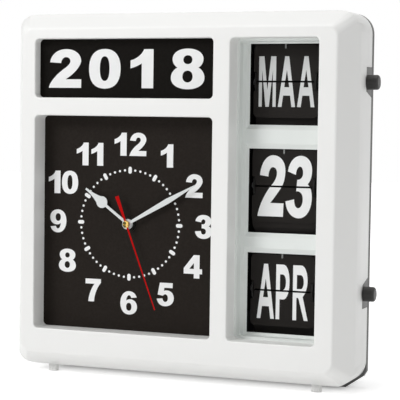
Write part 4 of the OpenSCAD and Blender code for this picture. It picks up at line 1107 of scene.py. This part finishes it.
# Battery: a rolled-edge can with its button, in a plain sleeve
batteryShape = {
    "radius": 7.25,  # mm
    "length": 50.5,
    "button": 2.75,
    "buttonLength": 1.0,
    "buttonEdge": 0.3,
    "roll": 0.8,
    "dish": 0.3,  # depth of the flat end
    "groove": 0.25,  # depth round the button
    "grooveWidth": 0.4,
    "foot": (0.62, 0.66, 0.85, 0.95),  # shares of the radius from the dish out to the roll
    "shoulder": (0.96, 0.86, 0.8),  # and from the roll in to the groove
    "sides": 64,
}


def addBattery(look):
    radius, length, button, roll = (look[key] for key in ("radius", "length", "button", "roll"))
    can = length - look["buttonLength"]
    foot = [share * radius for share in look["foot"]]
    shoulder = [share * radius for share in look["shoulder"]]
    grooveFloor = can - look["groove"]
    profile = [
        (0, look["dish"]), (foot[0], look["dish"]), (foot[1], 0), (foot[2], 0),
        (foot[3], roll / 4), (radius, roll), (radius, can - roll), (shoulder[0], can - roll / 4),
        (shoulder[1], can), (shoulder[2], grooveFloor),
        (button + look["grooveWidth"], grooveFloor), (button, can),
        (button, length - look["buttonEdge"]), (button - look["buttonEdge"], length), (0, length),
    ]
    low, high = (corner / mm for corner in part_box("battery"))
    center = (low + high) / 2
    mesh = bmesh.new()
    addTurned(mesh, profile, (low.x, center.y, center.z), (1, 0, 0), look["sides"])
    sleeve = finishes["battery_shell"]
    return finishPiece("batteryCan", mesh, sleeve, "case", smooth=True)


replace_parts(addBattery(batteryShape), "battery")
print("screws and battery modelled")


# Studio: a white floor that keeps the shadow, with painted shadow in a box under the clock added to
# it, soft light from the front left and a pale surround
studio = {
    "ambient": 0.175,
    "floorColor": rgb(0.9, 0.9, 0.9),
    "floorGlow": 0.2,
    # Painted shade: inside the dimmed box the floor glows only this much
    "shadeGlow": 0.12,  # under the clock
    # m: half width, place behind the middle, half depth and soft edge of a box of painted shadow,
    # where the floor loses its lift
    "shade": (0.118, 0.032, 0.008, 0.022),
    # Painted shade: a wider box round the clock where the floor's glow is lowered
    "dimmed": (0.13, 0.0, 0.03, 0.04),  # the dimmer floor round the shade
    "floorReach": 4.0,
    "floorLift": 0.38,  # close to the clock
    "farLift": 0.9,
    "liftFrom": 0.45,  # m from the clock
    "liftTo": 1.3,
    "lamps": {  # place in m, width in m and power in W
        "keyLamp": ((-1.0, -1.5, 1.1), 0.9, 18.6),
        "topLamp": ((0.0, -0.1, 1.9), 1.2, 13.5),
        "fillLamp": ((1.7, -0.6, 0.7), 1.0, 3.6),
        "sideLamp": ((1.6, 1.0, 0.9), 1.0, 2.3),
    },
}


def seenDirectly(tree):
    path = addNode(tree, "ShaderNodeLightPath").outputs
    mirror = math1(tree, "ADD", path["Is Glossy Ray"], path["Is Transmission Ray"])
    return math1(tree, "ADD", path["Is Camera Ray"], mirror, clamp=True)


def addWorld():
    world = bpy.data.worlds.new("studioWorld")
    world.use_nodes = True
    scene.world = world
    tree = world.node_tree
    tree.nodes.clear()
    light = addNode(tree, "ShaderNodeBackground", {"Color": white, "Strength": studio["ambient"]})
    shown = addNode(tree, "ShaderNodeBackground", {"Color": white, "Strength": 1.0})
    shares = {0: seenDirectly(tree), 1: light.outputs[0], 2: shown.outputs[0]}
    mix = addNode(tree, "ShaderNodeMixShader", shares)
    addNode(tree, "ShaderNodeOutputWorld", {"Surface": mix.outputs[0]})


def smoothRise(tree, inputs):
    node = addNode(tree, "ShaderNodeMapRange", inputs, interpolation_type="SMOOTHSTEP")
    return node.outputs["Result"]


# Rises from 0 in a box on the floor to 1 beyond its soft edge; the box is where painted shade lies
def outside(tree, box):
    halfWidth, behind, halfDepth, softEdge = box
    spot = objectSpot(tree)
    across = math1(tree, "SUBTRACT", math1(tree, "ABSOLUTE", spot["X"]), halfWidth)
    inward = math1(tree, "ABSOLUTE", math1(tree, "SUBTRACT", spot["Y"], behind))
    away = math1(tree, "MAXIMUM", across, math1(tree, "SUBTRACT", inward, halfDepth))
    return smoothRise(tree, {"Value": away, "From Min": 0.0, "From Max": softEdge})


def addFloor():
    mesh = bmesh.new()
    bmesh.ops.create_grid(mesh, x_segments=2, y_segments=2, size=studio["floorReach"])
    data = bpy.data.meshes.new("floor")
    mesh.to_mesh(data)
    mesh.free()
    material, tree, shader = newFinish("floorPaper", Roughness=0.9, Specular_IOR_Level=0.1)
    shader.inputs["Base Color"].default_value = studio["floorColor"]
    spot = {0: objectCoords(tree)}
    away = addNode(tree, "ShaderNodeVectorMath", spot, operation="LENGTH").outputs["Value"]
    rise = smoothRise(tree, {
        "Value": away, "From Min": studio["liftFrom"], "From Max": studio["liftTo"],
        "To Min": studio["floorLift"], "To Max": studio["farLift"],
    })
    lift = math1(tree, "MULTIPLY", seenDirectly(tree), rise)
    # Painted shadow: the lift is taken away in the shade box under the clock
    lit = math1(tree, "MULTIPLY", lift, outside(tree, studio["shade"]))
    # Painted shade: the glow is lowered in the dimmed box round the clock
    bright = studio["floorGlow"] - studio["shadeGlow"]
    dim = outside(tree, studio["dimmed"])
    base = math1(tree, "MULTIPLY_ADD", bright, dim, studio["shadeGlow"])
    strength = math1(tree, "ADD", lit, base)
    glow = addNode(tree, "ShaderNodeEmission", {"Color": white, "Strength": strength})
    total = addNode(tree, "ShaderNodeAddShader", {0: shader.outputs[0], 1: glow.outputs[0]})
    tree.links.new(total.outputs[0], tree.nodes["Material Output"].inputs["Surface"])
    data.materials.append(material)
    floor = bpy.data.objects.new("floor", data)
    scene.collection.objects.link(floor)


def addLamp(name, place, size, power):
    data = bpy.data.lights.new(name, "AREA")
    data.shape = "DISK"
    data.size = size
    data.energy = power
    lamp = bpy.data.objects.new(name, data)
    lamp.location = place
    aim = Vector(cameraView["target"]) * mm - lamp.location
    lamp.rotation_euler = aim.to_track_quat("-Z", "Y").to_euler()
    scene.collection.objects.link(lamp)


addWorld()
addFloor()
for name, (place, size, power) in studio["lamps"].items():
    addLamp(name, place, size, power)
scene.view_settings.view_transform = "Standard"
print("studio lit")
